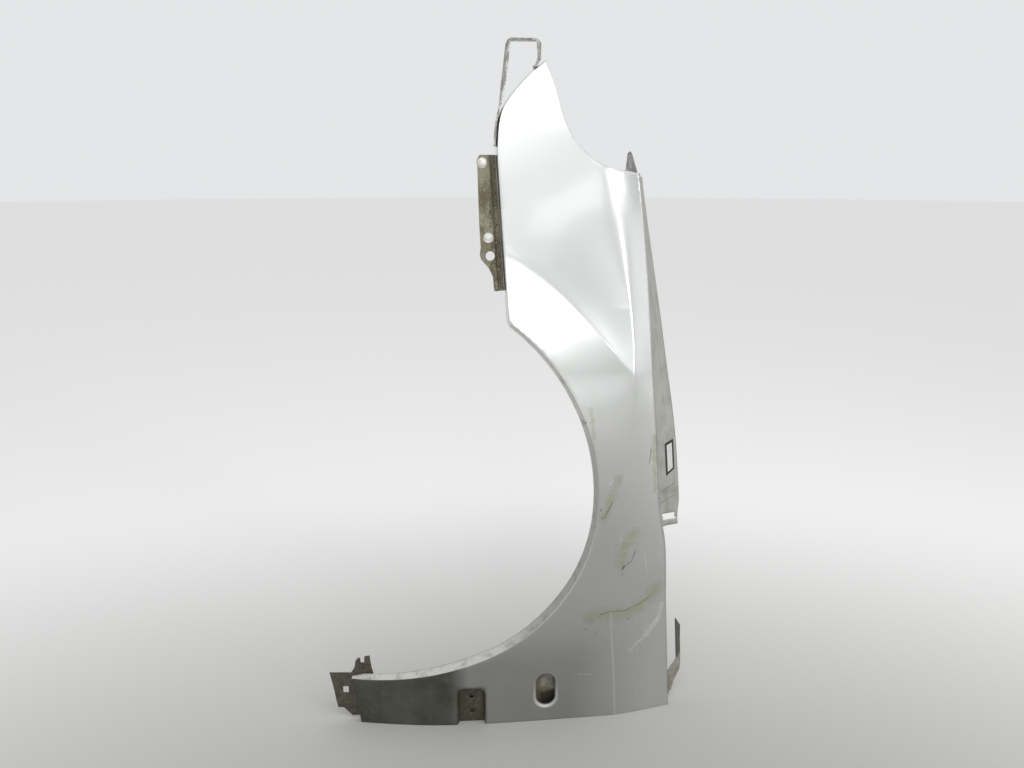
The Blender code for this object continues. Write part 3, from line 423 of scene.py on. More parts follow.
def scoop_depth(x, z):
    # A shallow hollow between the shoulder and the wheel blister that ends in a point
    left, _, width = scoop_span(z)
    across = (x - left) / width
    tallness = smooth_step(*SCOOP_GROW_SHARES, z)
    depth = SCOOP_DEPTH_SHARE * tallness * 4.0 * across * (1.0 - across)
    blister_softness = SOFT_CREASE_SHARE * smooth_step(*BLISTER_SOFTEN_SHARES, z)
    softness = CREASE_SHARE + blister_softness * np.clip(1.0 - across, 0.0, 1.0) ** 2
    return np.where(z > SCOOP_SHARES[0][1], rounded_positive(depth, softness), 0.0)


def blister_depth(x, z):
    # The wheel blister swells towards a crest along the outer line of the scoop
    left, right, width = scoop_span(z)
    edge = crease_at(HOOD_SHARES, z)
    grown = np.minimum(width / BLISTER_WIDTH_SHARE, 1.0)
    across = (x - left) / width
    rise = np.exp(np.minimum((x - left) / BLISTER_REACH_SHARE, 1.0))
    fall = np.where(across < 0.0, 1.0 - BLISTER_FALL * across,
                    np.clip(1.0 - across, 0.0, 1.0) ** BLISTER_FALL)
    fall = 1.0 - grown + grown * fall
    softened = smooth_step(*BLISTER_SOFTEN_SHARES, z)
    softness = BLISTER_ROUND + (BLISTER_TOP_ROUND - BLISTER_ROUND) * softened
    crest = 0.5 * (rise + fall - np.sqrt((rise - fall) ** 2 + softness ** 2))
    above = smooth_step(*BLISTER_GROW_SHARES, z)
    below = 1.0 - smooth_step(*BLISTER_FADE_SHARES, z)
    taper = np.clip((edge - x) / (edge - right), 0.0, 1.0)
    return -BLISTER_SHARE * above * below * taper * crest


# Depth of the pocket, of the repeater's lip and of the whole skin, in metres

def pocket_distance(x, z):
    # How far a point lies inside the pocket rim, which is open at the door edge
    half = POCKET_WIDTH / 2.0
    side = np.abs(x - POCKET_SHARE * PANEL_HEIGHT) - (half - POCKET_RADIUS)
    top = z - (POCKET_LENGTH - POCKET_RADIUS)
    corner = np.hypot(np.maximum(side, 0.0), np.maximum(top, 0.0))
    return POCKET_RADIUS - corner - np.minimum(np.maximum(side, top), 0.0)


def repeater_distance(x, z):
    # How far a point lies from the straight middle line of the oval hole
    along = np.abs(z - REPEATER_SHARE[1] * PANEL_HEIGHT) - REPEATER_HALF_LINE
    along = np.maximum(along, 0.0)
    return np.hypot(x - REPEATER_SHARE[0] * PANEL_HEIGHT, along)


def feature_depth(x, z):
    pocket = POCKET_DEPTH * smooth_step(0.0, POCKET_WALL, pocket_distance(x, z))
    outside = repeater_distance(x, z) - REPEATER_WIDTH / 2.0
    turned = np.clip(1.0 - outside / REPEATER_LIP, 0.0, 1.0)
    lip = REPEATER_LIP * (1.0 - np.sqrt(np.maximum(1.0 - turned ** 2, 0.0)))
    return pocket + lip


def skin_depth(x, z):
    place = (x / PANEL_HEIGHT, z / PANEL_HEIGHT)
    body = section_depth(place[0]) + shoulder_depth(*place) + front_depth(place[1])
    body = body + flare_depth(*place) + scoop_depth(*place) + blister_depth(*place)
    return body * PANEL_HEIGHT + feature_depth(x, z)


def skin_point(point):
    return Vector((point.x, float(skin_depth(point.x, point.y)), point.y))


def obround(width, length, count):
    # Outline round the middle line of the repeater hole
    half_line = (length - width) / 2.0
    centre = Vector(REPEATER_SHARE) * PANEL_HEIGHT
    outline = []
    for side in (1.0, -1.0):
        for index in range(count + 1):
            angle = math.pi * index / count + (0.0 if side > 0.0 else math.pi)
            reach = direction(angle) * width / 2.0
            outline.append(centre + Vector((0.0, side * half_line)) + reach)
    return outline


def circle(centre, radius, count):
    angles = [2.0 * math.pi * index / count for index in range(count)]
    return [centre + direction(angle) * radius for angle in angles]


def pocket_outline(inset):
    # Rim line of the pocket, from the door edge up, round the top and down again
    half = POCKET_WIDTH / 2.0 - inset
    top = POCKET_LENGTH - inset
    radius = POCKET_RADIUS - inset
    middle = POCKET_SHARE * PANEL_HEIGHT
    side_steps = round((top - radius) / EDGE_STEP)
    side = [BEND + (top - radius - BEND) * index / side_steps for index in range(side_steps)]
    turn = [math.pi / 2.0 * index / POCKET_TURN_STEPS for index in range(POCKET_TURN_STEPS + 1)]
    left = [Vector((middle - half, z)) for z in side]
    left += [Vector((middle - half + radius * (1.0 - math.cos(angle)),
                     top - radius * (1.0 - math.sin(angle)))) for angle in turn]
    right = [Vector((2.0 * middle - point.x, point.y)) for point in reversed(left[:-1])]
    return left + right


def pocket_rings():
    return [pocket_outline(share * POCKET_WALL) for share in POCKET_RING_SHARES]


def door_edge():
    # From the tail to the hood corner, with a point at the foot of each pocket line
    left = TAIL_SHARES[-1][0] * PANEL_HEIGHT
    right = HOOD_SHARES[0][0] * PANEL_HEIGHT
    feet = [ring[0].x for ring in pocket_rings()]
    feet += [ring[-1].x for ring in reversed(pocket_rings())]
    stops = [left, *feet, right]
    edge = []
    for start, stop in zip(stops, stops[1:]):
        count = max(1, round((stop - start) / EDGE_STEP))
        edge += [Vector((start + (stop - start) * index / count, BEND)) for index in range(count)]
    edge.append(Vector((right, BEND)))
    return edge


def raised(points):
    # The curve with its low end lifted onto the bend of the door-edge hem
    return [(x, max(z, BEND)) for x, z in points]


def with_heights(points, heights):
    # The nearest inner points of a rising curve moved along it to the given heights
    moved = list(points)
    for height in heights:
        near = min(range(1, len(moved) - 1), key=lambda number: abs(moved[number].y - height))
        other = near + 1 if moved[near].y < height else near - 1
        share = (height - moved[near].y) / (moved[other].y - moved[near].y)
        moved[near] = moved[near].lerp(moved[other], share)
    return moved


def slot_heights():
    middle = LEDGE_SLOT_SHARE * PANEL_HEIGHT
    return (middle - LEDGE_SLOT_WIDTH / 2.0, middle + LEDGE_SLOT_WIDTH / 2.0)


def skin_edges():
    # The edges in order round the skin, each as (name, points)
    front = curve_through(scaled(FRONT_SHARES), EDGE_STEP)
    arch = arch_curve(EDGE_STEP)
    front[-1] = arch[0]
    tail = curve_through(raised(scaled(TAIL_SHARES)), EDGE_STEP)
    hood = curve_through(raised(scaled(HOOD_SHARES)), EDGE_STEP)
    joggle = [share * PANEL_HEIGHT for share in LEDGE_JOGGLE_SHARES]
    hood = with_heights(hood, [*slot_heights(), *joggle])
    headlamp = curve_through(scaled(HEADLAMP_SHARES), EDGE_STEP)
    return (("front", front), ("arch", arch + [tail[0]]), ("tail", tail),
            ("door", door_edge()), ("hood", hood), ("headlamp", headlamp[::-1]))


def skin_loop():
    # One closed loop, anticlockwise as seen from outboard: each point with its edge
    loop = []
    for name, points in skin_edges():
        loop += [(name, point) for point in points[:-1]]
    return loop


def inside_outline(points, outline):
    # Even and odd crossings of a ray along X
    inside = np.zeros(len(points), dtype=bool)
    for start, stop in zip(outline, outline[1:] + outline[:1]):
        crosses = (start.y > points[:, 1]) != (stop.y > points[:, 1])
        rise = stop.y - start.y if stop.y != start.y else 1.0
        at = start.x + (points[:, 1] - start.y) / rise * (stop.x - start.x)
        inside ^= crosses & (points[:, 0] < at)
    return inside


def far_from(points, lines, clearance):
    keep = np.ones(len(points), dtype=bool)
    for line in lines:
        for point in line:
            keep &= np.hypot(points[:, 0] - point.x, points[:, 1] - point.y) > clearance
    return keep


def lattice(outline):
    # Rows of points at 60 degrees that fill the outline
    low_x = min(point.x for point in outline)
    high_x = max(point.x for point in outline)
    high_z = max(point.y for point in outline)
    row_step = FIELD_STEP * math.sqrt(3.0) / 2.0
    rows = []
    for row in range(int(high_z / row_step) + 1):
        shift = FIELD_STEP / 2.0 * (row % 2)
        count = int((high_x - low_x) / FIELD_STEP) + 1
        rows += [(low_x + shift + FIELD_STEP * index, row * row_step) for index in range(count)]
    return np.array(rows)


def crease_points(shares, low_share, high_share, offset):
    # Points along a crease, moved sideways, so that the blank folds beside it
    line = [Vector(share) * PANEL_HEIGHT for share in smooth_line(shares)]
    kept = []
    for before, here, after in zip(line, line[1:], line[2:]):
        if low_share < here.y / PANEL_HEIGHT < high_share:
            along = (after - before).normalized()
            kept.append(here + Vector((-along.y, along.x)) * offset)
    return kept


def pocket_holes():
    x = POCKET_SHARE * PANEL_HEIGHT
    return [circle(Vector((x, z)), POCKET_HOLE_RADIUS, POCKET_HOLE_CORNERS)
            for z in POCKET_HOLE_HEIGHTS]


def blank():
    # The flat trimmed sheet: corner points and triangles, with its holes open
    outline = [point for _, point in skin_loop()]
    rings = [obround(REPEATER_WIDTH + 2.0 * REPEATER_LIP * share,
                     REPEATER_LENGTH + 2.0 * REPEATER_LIP * share, REPEATER_END_STEPS)
             for share in REPEATER_RING_SHARES]
    holes = [rings[0], *pocket_holes()]
    creases = [crease_points(SHOULDER_SHARES, *SHOULDER_FOLD_SHARES, offset)
               for offset in CREASE_OFFSETS]
    creases += [crease_points(SCOOP_SHARES, *BLISTER_FOLD_SHARES, offset)
                for offset in CREASE_OFFSETS]
    closed = [outline, *rings, *pocket_holes()]
    opened = [*pocket_rings(), *creases]
    field = lattice(outline)
    field = field[inside_outline(field, outline)]
    field = field[far_from(field, closed + opened, FIELD_CLEARANCE)]
    corners = []
    edges = []
    for line, is_closed in [(line, True) for line in closed] + [(line, False) for line in opened]:
        start = len(corners)
        corners += line
        links = len(line) if is_closed else len(line) - 1
        edges += [(start + index, start + (index + 1) % len(line)) for index in range(links)]
    corners += [Vector(point) for point in field]
    flat = delaunay_2d_cdt(corners, edges, [], 0, PANEL_HEIGHT * JOIN_SHARE)
    points = np.array([tuple(point) for point in flat[0]])
    faces = np.array(flat[2])
    middles = points[faces].mean(axis=1)
    kept = inside_outline(middles, outline)
    for hole in holes:
        kept &= ~inside_outline(middles, hole)
    faces = faces[kept]
    used, renumbered = np.unique(faces, return_inverse=True)
    return points[used], [tuple(face) for face in renumbered.reshape(faces.shape).tolist()]


def flange_of(edge, point):
    # How deep an edge is folded inboard and how far the fold leans out
    if edge == "arch":
        tail_share = smooth_step(*ARCH_TAIL_SHARES, point.x / PANEL_HEIGHT)
        return ARCH_FLANGE + (ARCH_TAIL_FLANGE - ARCH_FLANGE) * tail_share, ARCH_LEAN
    if edge == "door":
        pressed = float(feature_depth(point.x, point.y))
        grown = smooth_step(TAIL_SHARES[-1][0], HEM_FULL_SHARE, point.x / PANEL_HEIGHT)
        full = TAIL_FLANGE + (HEM - TAIL_FLANGE) * grown
        return max(full - pressed, POCKET_MIN_HEM), 0.0
    depths = {"front": FRONT_FLANGE, "tail": TAIL_FLANGE,
              "hood": HOOD_WALL, "headlamp": HEADLAMP_FLANGE}
    return depths[edge], FRONT_LEAN if edge == "front" else 0.0


def outward(loop, index):
    # Direction in the sheet, away from the material, stretched at corners
    before = loop[index - 1][1]
    here = loop[index][1]
    after = loop[(index + 1) % len(loop)][1]
    first = (here - before).normalized()
    second = (after - here).normalized()
    normal = Vector((first.y + second.y, -first.x - second.x)).normalized()
    stretch = max(CORNER_LIMIT, normal.dot(Vector((first.y, -first.x))))
    return normal / stretch


def fold_stations():
    # How far each row of the fold lies out, inboard in the bend, and down the flange
    stations = []
    for index in range(1, FOLD_STEPS + 1):
        angle = math.pi / 2.0 * index / FOLD_STEPS
        stations.append((math.sin(angle), 1.0 - math.cos(angle), 0.0))
    stations += [(1.0, 1.0, index / FLANGE_STEPS) for index in range(1, FLANGE_STEPS + 1)]
    return stations


def fold_rows(loop):
    away = [outward(loop, index) for index in range(len(loop))]
    rows = []
    for bend_out, bend_in, down in fold_stations():
        row = []
        for (edge, point), side in zip(loop, away):
            depth, lean = flange_of(edge, point)
            out = side * (bend_out * BEND + lean * down)
            inboard = bend_in * BEND + (depth - BEND) * down
            row.append(skin_point(point) + Vector((out.x, inboard, out.y)))
        rows.append(row)
    return rows


def ledge_angle(z):
    forward = smooth_step(LEDGE_END_SHARE, LEDGE_TOP_SHARE, z / PANEL_HEIGHT)
    return LEDGE_REAR_ANGLE + (LEDGE_FRONT_ANGLE - LEDGE_REAR_ANGLE) * forward


def ledge_stations(width):
    # Distances across the ledge, with one at each end of the slot
    low = LEDGE_SLOT_REACH - LEDGE_SLOT_LENGTH / 2.0
    high = LEDGE_SLOT_REACH + LEDGE_SLOT_LENGTH / 2.0
    stations = [width * index / LEDGE_STEPS for index in range(1, LEDGE_STEPS + 1)]
    for end in (low, min(high, width)):
        near = min(range(LEDGE_STEPS), key=lambda number: abs(stations[number] - end))
        stations[near] = end
    return sorted(stations)


def ledge_columns(wall_row, numbers):
    # For each point of the wall, the points across the ledge
    columns = []
    for number in numbers:
        start = wall_row[number]
        share = start.z / PANEL_HEIGHT
        angle = ledge_angle(start.z)
        along = smooth_step(LEDGE_END_SHARE, LEDGE_TAPER_SHARE, share)
        width = float(LEDGE_END_WIDTH + (LEDGE_WIDTH - LEDGE_END_WIDTH) * along)
        joggle = LEDGE_JOGGLE * (1.0 - smooth_step(*LEDGE_JOGGLE_SHARES, share))
        reach = Vector((math.sin(angle), math.cos(angle), 0.0))
        column = []
        for distance in ledge_stations(width):
            settle = joggle * float(smooth_step(0.0, LEDGE_SLOT_REACH / 2.0, distance))
            column.append(start + reach * distance + Vector((0.0, settle, 0.0)))
        columns.append(column)
    return columns


def band(near, far, closed):
    count = len(near) if closed else len(near) - 1
    faces = []
    for index in range(count):
        after = (index + 1) % len(near)
        faces.append((near[index], near[after], far[after], far[index]))
    return faces


def in_slot(low, high):
    # Whether a face of the ledge lies in the slot, from its height and reach limits
    bottom, top = slot_heights()
    middle_z = (low[0] + high[0]) / 2.0
    middle_reach = (low[1] + high[1]) / 2.0
    half = LEDGE_SLOT_LENGTH / 2.0
    return bottom < middle_z < top and abs(middle_reach - LEDGE_SLOT_REACH) < half


def add_row(vertices, points):
    # Adds the points and gives their numbers
    start = len(vertices)
    vertices += points
    return list(range(start, len(vertices)))


def add_ledge(loop, vertices, wall):
    numbers = [index for index, (edge, point) in enumerate(loop)
               if edge == "hood" and point.y > LEDGE_END_SHARE * PANEL_HEIGHT]
    wall_row = [vertices[number] for number in wall]
    columns = ledge_columns(wall_row, numbers)
    rows = [[wall[number] for number in numbers]]
    for station in range(LEDGE_STEPS):
        rows.append(add_row(vertices, [column[station] for column in columns]))
    faces = []
    for near, far in zip(rows, rows[1:]):
        for face in band(near, far, False):
            corners = [vertices[number] for number in face]
            reaches = [(corner - vertices[rows[0][near.index(face[0])]]).xy.length
                       for corner in (corners[0], corners[3])]
            low = (corners[0].z, reaches[0])
            high = (corners[1].z, reaches[1])
            if not in_slot(low, high):
                faces.append(face)
    return faces


def match_loop(loop, flat_points):
    # Numbers of the blank's corners that lie on the outline
    numbers = []
    for _, point in loop:
        gap = np.hypot(flat_points[:, 0] - point.x, flat_points[:, 1] - point.y)
        numbers.append(int(np.argmin(gap)))
    return numbers


def panel_mesh():
    loop = skin_loop()
    flat_points, faces = blank()
    depths = skin_depth(flat_points[:, 0], flat_points[:, 1])
    vertices = [Vector((x, y, z)) for (x, z), y in zip(flat_points.tolist(), depths.tolist())]
    rows = [match_loop(loop, flat_points)]
    rows += [add_row(vertices, row) for row in fold_rows(loop)]
    lip = []
    for number, (near, far) in enumerate(zip(rows, rows[1:])):
        strip = band(near, far, True)
        for face, (edge, _) in zip(strip, loop):
            in_lip = edge == "arch" and number >= LIP_START_ROW
            (lip if in_lip else faces).append(face)
    ledge = add_ledge(loop, vertices, rows[-1])
    return [vertex + FRAME_SHIFT for vertex in vertices], faces, ledge, lip


def scene_object(name, data):
    made = bpy.data.objects.new(name, data)
    bpy.context.scene.collection.objects.link(made)
    return made


def mesh_object(name, vertices, faces, looks):
    mesh = bpy.data.meshes.new(name)
    mesh.from_pydata([tuple(vertex) for vertex in vertices], [], faces)
    mesh.update()
    for look in looks:
        mesh.materials.append(look)
    return scene_object(name, mesh)


def face_outboard(thing):
    # Consistent normals, with the skin looking outboard
    shape = bmesh.new()
    shape.from_mesh(thing.data)
    bmesh.ops.recalc_face_normals(shape, faces=shape.faces)
    if sum(face.normal.y * face.calc_area() for face in shape.faces) > 0.0:
        bmesh.ops.reverse_faces(shape, faces=shape.faces)
    shape.to_mesh(thing.data)
    shape.free()


def fender_skin(outer, inner, dull, pale):
    # The inner side of a sheet takes the look after that of its outer side
    vertices, faces, ledge, lip = panel_mesh()
    looks = (outer, inner, dull, inner, pale, inner)
    skin = mesh_object("fender_skin", vertices, faces + ledge + lip, looks)
    for face in skin.data.polygons[len(faces):]:
        face.material_index = looks.index(dull if face.index < len(faces + ledge) else pale)
    face_outboard(skin)
    skin.data.shade_smooth()
    skin.data.set_sharp_from_angle(angle=SHARP_ANGLE)
    solid = skin.modifiers.new("sheet", "SOLIDIFY")
    solid.thickness = SHEET
    solid.offset = -1.0
    solid.material_offset = 1
    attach(skin, "root")
    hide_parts("fender_panel")
    return skin


def label_looks():
    # White paper with a black frame and a faint empty grid, read from the sheet's own map
    look = Look("label_paper")
    corner = look.tree.nodes.new("ShaderNodeUVMap").outputs[0]
    borders = []
    lines = []
    for letter, count in zip("XY", LABEL_GRID):
        place = look.axis(letter, corner)
        edge = look.sum("MINIMUM", place, look.sum("SUBTRACT", 1.0, place))
        share = LABEL_FRAME_SHARE * LABEL_GRID[0] / count
        borders.append(look.sum("LESS_THAN", edge, share))
        lines.append(look.sum("LESS_THAN", look.sum("FRACT", look.times(place, count)),
                              LABEL_LINE_SHARE))
    colour = look.lay((0.66, 0.67, 0.66), look.most(*lines), 0.60, (0.10, 0.10, 0.10))
    colour = look.blend(look.most(*borders), colour, (0.018, 0.018, 0.018))
    return look.finish(Base_Color=colour, Roughness=0.45)


def ledge_label(skin):
    # The sheet follows the ledge a little way off its outboard face
    tree = BVHTree.FromPolygons([vertex.co for vertex in skin.data.vertices],
                                [face.vertices for face in skin.data.polygons])
    low_near, low_far, high_far, high_near = [Vector(corner) for corner in LABEL_CORNERS]
    vertices = []
    places = []
    rows = []
    for row in range(LABEL_STEPS + 1):
        near = low_near.lerp(high_near, row / LABEL_STEPS)
        far = low_far.lerp(high_far, row / LABEL_STEPS)
        points = []
        for column in range(LABEL_STEPS + 1):
            across = near.lerp(far, column / LABEL_STEPS)
            start = Vector((across.x, LABEL_RAY_START, across.y))
            hit = tree.ray_cast(start, Vector((0.0, 1.0, 0.0)))[0]
            points.append(hit - Vector((0.0, LABEL_LIFT, 0.0)))
            places.append((column / LABEL_STEPS, row / LABEL_STEPS))
        rows.append(add_row(vertices, points))
    faces = [face for near, far in zip(rows, rows[1:]) for face in band(near, far, False)]
    label = mesh_object("ledge_label", vertices, faces, (label_looks(),))
    face_outboard(label)
    chart = label.data.uv_layers.new(name="sheet")
    for corner in label.data.loops:
        chart.data[corner.index].uv = places[corner.vertex_index]
    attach(label, "root")


class Look:
    # One procedural material and short calls for its nodes

    def __init__(self, name):
        self.material = bpy.data.materials.new(name)
        self.material.use_nodes = True
        self.tree = self.material.node_tree
        self.shader = self.tree.nodes["Principled BSDF"]
        self.place = self.tree.nodes.new("ShaderNodeTexCoord").outputs["Object"]

    def feed(self, socket, value):
        if isinstance(value, bpy.types.NodeSocket):
            self.tree.links.new(value, socket)
        else:
            socket.default_value = value

    def add(self, kind, operation, *values):
        node = self.tree.nodes.new(kind)
        node.operation = operation
        for socket, value in zip(node.inputs, values):
            self.feed(socket, value)
        return node

    def sum(self, operation, *values):
        return self.add("ShaderNodeMath", operation, *values).outputs[0]

    def fold(self, operation, values):
        # All the values joined in order by one operation
        return functools.reduce(lambda first, second: self.sum(operation, first, second), values)

    def times(self, *values):
        return self.fold("MULTIPLY", values)

    def most(self, *values):
        return self.fold("MAXIMUM", values)

    def vector(self, operation, *values):
        return self.add("ShaderNodeVectorMath", operation, *values).outputs[0]

    def measure(self, operation, *values):
        # A vector operation that gives one number
        return self.add("ShaderNodeVectorMath", operation, *values).outputs["Value"]

    def noise(self, scale, detail=3.0, stretch=None, roughness=0.5, output="Fac"):
        node = self.tree.nodes.new("ShaderNodeTexNoise")
        place = self.place if stretch is None else self.vector("MULTIPLY", self.place, stretch)
        self.feed(node.inputs["Vector"], place)
        node.inputs["Scale"].default_value = scale
        node.inputs["Detail"].default_value = detail
        node.inputs["Roughness"].default_value = roughness
        return node.outputs[output]

    def between(self, value, low, high, start=0.0, stop=1.0):
        # A soft step from start to stop as the value goes from low to high
        node = self.tree.nodes.new("ShaderNodeMapRange")
        node.interpolation_type = "SMOOTHSTEP"
        for socket, number in zip(node.inputs, (value, low, high, start, stop)):
            self.feed(socket, number)
        return node.outputs[0]

    def ramp(self, mask, start, stop):
        return self.between(mask, 0.0, 1.0, start, stop)

    def grain(self, scale, detail, low, high, start=0.0, stop=1.0, stretch=None, roughness=0.7):
        # A soft step from start to stop as the noise goes from low to high
        noise = self.noise(scale, detail, stretch, roughness)
        return self.between(noise, low, high, start, stop)

    def blend(self, share, first, second):
        node = self.tree.nodes.new("ShaderNodeMix")
        node.data_type = "RGBA"
        self.feed(node.inputs["Factor"], share)
        for socket, value in ((node.inputs[6], first), (node.inputs[7], second)):
            self.feed(socket, (*value, 1.0) if isinstance(value, tuple) else value)
        return node.outputs[2]

    def lay(self, colour, mask, strength, tint):
        # The tint laid over the colour where the mask is
        return self.blend(self.times(mask, strength), colour, tint)

    def axis(self, letter, place=None):
        node = self.tree.nodes.new("ShaderNodeSeparateXYZ")
        self.feed(node.inputs[0], self.place if place is None else place)
        return node.outputs[letter]

    def bump(self, height, distance):
        node = self.tree.nodes.new("ShaderNodeBump")
        node.inputs["Distance"].default_value = distance
        self.feed(node.inputs["Height"], height)
        return node.outputs["Normal"]

    def finish(self, **values):
        for name, value in values.items():
            socket = self.shader.inputs[name.replace("_", " ")]
            self.feed(socket, (*value, 1.0) if isinstance(value, tuple) else value)
        return self.material

    def segment_distance(self, ends, wander):
        # Distance in the XZ plane from the straight line between two points
        start, stop = [Vector((x, 0.0, z)) for x, z in ends]
        along = stop - start
        reach = self.vector("SUBTRACT", wander, tuple(start))
        share = self.measure("DOT_PRODUCT", reach, tuple(along / along.length_squared))
        share = self.add("ShaderNodeMath", "ADD", share, 0.0)
        share.use_clamp = True
        nearest = self.add("ShaderNodeVectorMath", "SCALE", tuple(along))
        self.feed(nearest.inputs["Scale"], share.outputs[0])
        return self.measure("LENGTH", self.vector("SUBTRACT", reach, nearest.outputs[0]))

    def distance_to(self, line, wander):
        # Distance from a line of points, with the place wandering a little
        return self.fold("MINIMUM", (self.segment_distance(ends, wander)
                                     for ends in zip(line, line[1:])))

    def strokes(self, marks, wander, softness):
        # Greatest cover of all the strokes, each as (line, half width)
        return self.fold("MAXIMUM", (
            self.between(self.distance_to(line, wander), half, half * (1.0 - softness))
            for line, half in marks))


def flat_place(look, amount, scale):
    # The place in the XZ plane, pushed about by noise so that strokes get ragged edges
    flat = look.vector("MULTIPLY", look.place, (1.0, 0.0, 1.0))
    push = look.vector("SUBTRACT", look.noise(scale, 2.0, output="Color"), (0.5, 0.5, 0.5))
    push = look.vector("MULTIPLY", push, (amount, 0.0, amount))
    return look.vector("ADD", flat, push)


def grime_and_painted_shade(look, x, z, cloud):
    # Road grime with painted shade, both thickening towards the tail and the door edge
    low = look.between(z, *GRIME_SHADE_HEIGHTS)
    rearward = look.most(look.between(x, *GRIME_SHADE_TAIL_REACH),
                         look.between(x, *GRIME_SHADE_MIDDLE_REACH, 0.0, GRIME_SHADE_MIDDLE_SHARE))
    return look.times(low, rearward, look.between(cloud, 0.25, 0.75, 0.92, 1.0))


def pocket_mud_and_shade(look, x, z):
    # Packed mud and painted shade in the pocket recess, with a soft edge, thin over the ribs
    # between its holes
    masks = []
    for value, middle, half in zip((x, z), POCKET_MUD_SHADE_PLACE, POCKET_MUD_SHADE_HALF):
        away = look.sum("ABSOLUTE", look.sum("SUBTRACT", value, middle))
        soft = half * POCKET_MUD_SHADE_SOFTNESS
        masks.append(look.between(away, half + soft, half - soft))
    return look.times(*masks, look.grain(130.0, 5.0, 0.34, 0.56, 0.78, 1.0))


def rim_wear(look, fine, z):
    # Bare bright rim of the oval hole, brightest at its lower end
    low = REPEATER_PLACE[1] - REPEATER_HALF_LINE
    high = REPEATER_PLACE[1] + REPEATER_HALF_LINE
    far = look.distance_to(((REPEATER_PLACE[0], low), (REPEATER_PLACE[0], high)), fine)
    ring = look.times(look.between(far, *RIM_OUTER_FADE), look.between(far, *RIM_INNER_FADE))
    return look.times(ring, look.between(z, high, low, 0.25, 0.95))


def silver_paint():
    look = Look("silver_paint")
    x = look.axis("X")
    z = look.axis("Z")
    # Metallic flake and the faint cloudiness of the base coat
    flake = look.noise(1500.0, 1.0)
    cloud = look.noise(14.0, 4.0)
    colour = look.blend(look.between(flake, 0.3, 0.7), (0.54, 0.55, 0.54), (0.62, 0.63, 0.62))
    # Road grime with painted shade: near black towards the tail and the door edge
    grime_and_shade = grime_and_painted_shade(look, x, z, cloud)
    colour = look.lay(colour, grime_and_shade, 0.98, (0.034, 0.033, 0.021))
    # Fine dust and water marks over the whole skin
    dust = look.grain(60.0, 5.0, 0.52, 0.75, roughness=0.65)
    colour = look.lay(colour, dust, 0.08, (0.40, 0.39, 0.35))
    # Smears, scratches, chips and mud, with a painted highlight along the door crease and painted
    # shade along the hood bend and in the pocket
    ragged = flat_place(look, RAGGED_PUSH, 70.0)
    fine = flat_place(look, FINE_PUSH, 420.0)
    streaks = look.grain(75.0, 4.0, 0.28, 0.62, 0.25, 1.0, stretch=(0.40, 1.0, 1.0),
                         roughness=0.65)
    olive = look.times(look.strokes(OLIVE_SMEARS, ragged, 1.0), streaks)
    pale = look.times(look.strokes(PALE_SCRATCHES, fine, 1.0),
                      look.grain(420.0, 4.0, 0.42, 0.58, 0.20, 1.0))
    dark = look.strokes(DARK_LINES, fine, 0.7)
    # Painted highlight along the door-side crease
    crease_highlight = look.strokes((DOOR_CREASE_HIGHLIGHT_LINE,), fine, 1.0)
    # Painted shade along the bend of the hood edge
    bend_shade = look.strokes((HOOD_BEND_SHADE_LINE,), fine, 0.5)
    # Mud in the pocket, near black with painted shade in its recess
    mud = pocket_mud_and_shade(look, x, z)
    rim = rim_wear(look, fine, z)
    for mask, strength, tint in ((olive, 0.66, (0.330, 0.345, 0.175)),
                                 (pale, 0.50, (0.72, 0.72, 0.70)),
                                 (crease_highlight, 0.32, (0.80, 0.80, 0.78)),
                                 (dark, 0.72, (0.075, 0.070, 0.050)),
                                 (mud, 0.94, (0.046, 0.040, 0.021)),
                                 (rim, 0.38, (0.74, 0.74, 0.71)),
                                 (bend_shade, 0.55, (0.100, 0.098, 0.085))):
        colour = look.lay(colour, mask, strength, tint)
    # Worn and soiled places, and those with painted shade, are duller than the clear coat
    worn_and_shaded = look.most(look.times(olive, 0.35), look.times(pale, 0.5), grime_and_shade, mud, bend_shade)
    return look.finish(Base_Color=colour, Metallic=look.ramp(worn_and_shaded, 1.0, 0.50),
                       Roughness=look.ramp(worn_and_shaded, 0.27, 0.58),
                       Coat_Weight=look.between(worn_and_shaded, 0.1, 0.9, 1.0, 0.06), Coat_Roughness=0.07,
                       Normal=look.bump(flake, FLAKE_BUMP))


def ledge_paint():
    # Dull dusty silver under the hood seal, with painted shade as dark lines where the ledge is
    # stepped back
    look = Look("ledge_paint")
    dust = look.grain(90.0, 5.0, 0.35, 0.70, stretch=(1.0, 1.0, 0.3), roughness=0.65)
    colour = look.blend(dust, (0.37, 0.375, 0.345), (0.30, 0.305, 0.270))
    step_shade = look.strokes(LEDGE_STEP_SHADE_LINES, flat_place(look, STEP_LINE_PUSH, 300.0), 0.9)
    colour = look.lay(colour, step_shade, 0.65, (0.12, 0.115, 0.095))
    return look.finish(Base_Color=colour, Metallic=0.45, Roughness=look.ramp(dust, 0.46, 0.60),
                       Normal=look.bump(look.noise(240.0, 3.0), DULL_PAINT_BUMP))


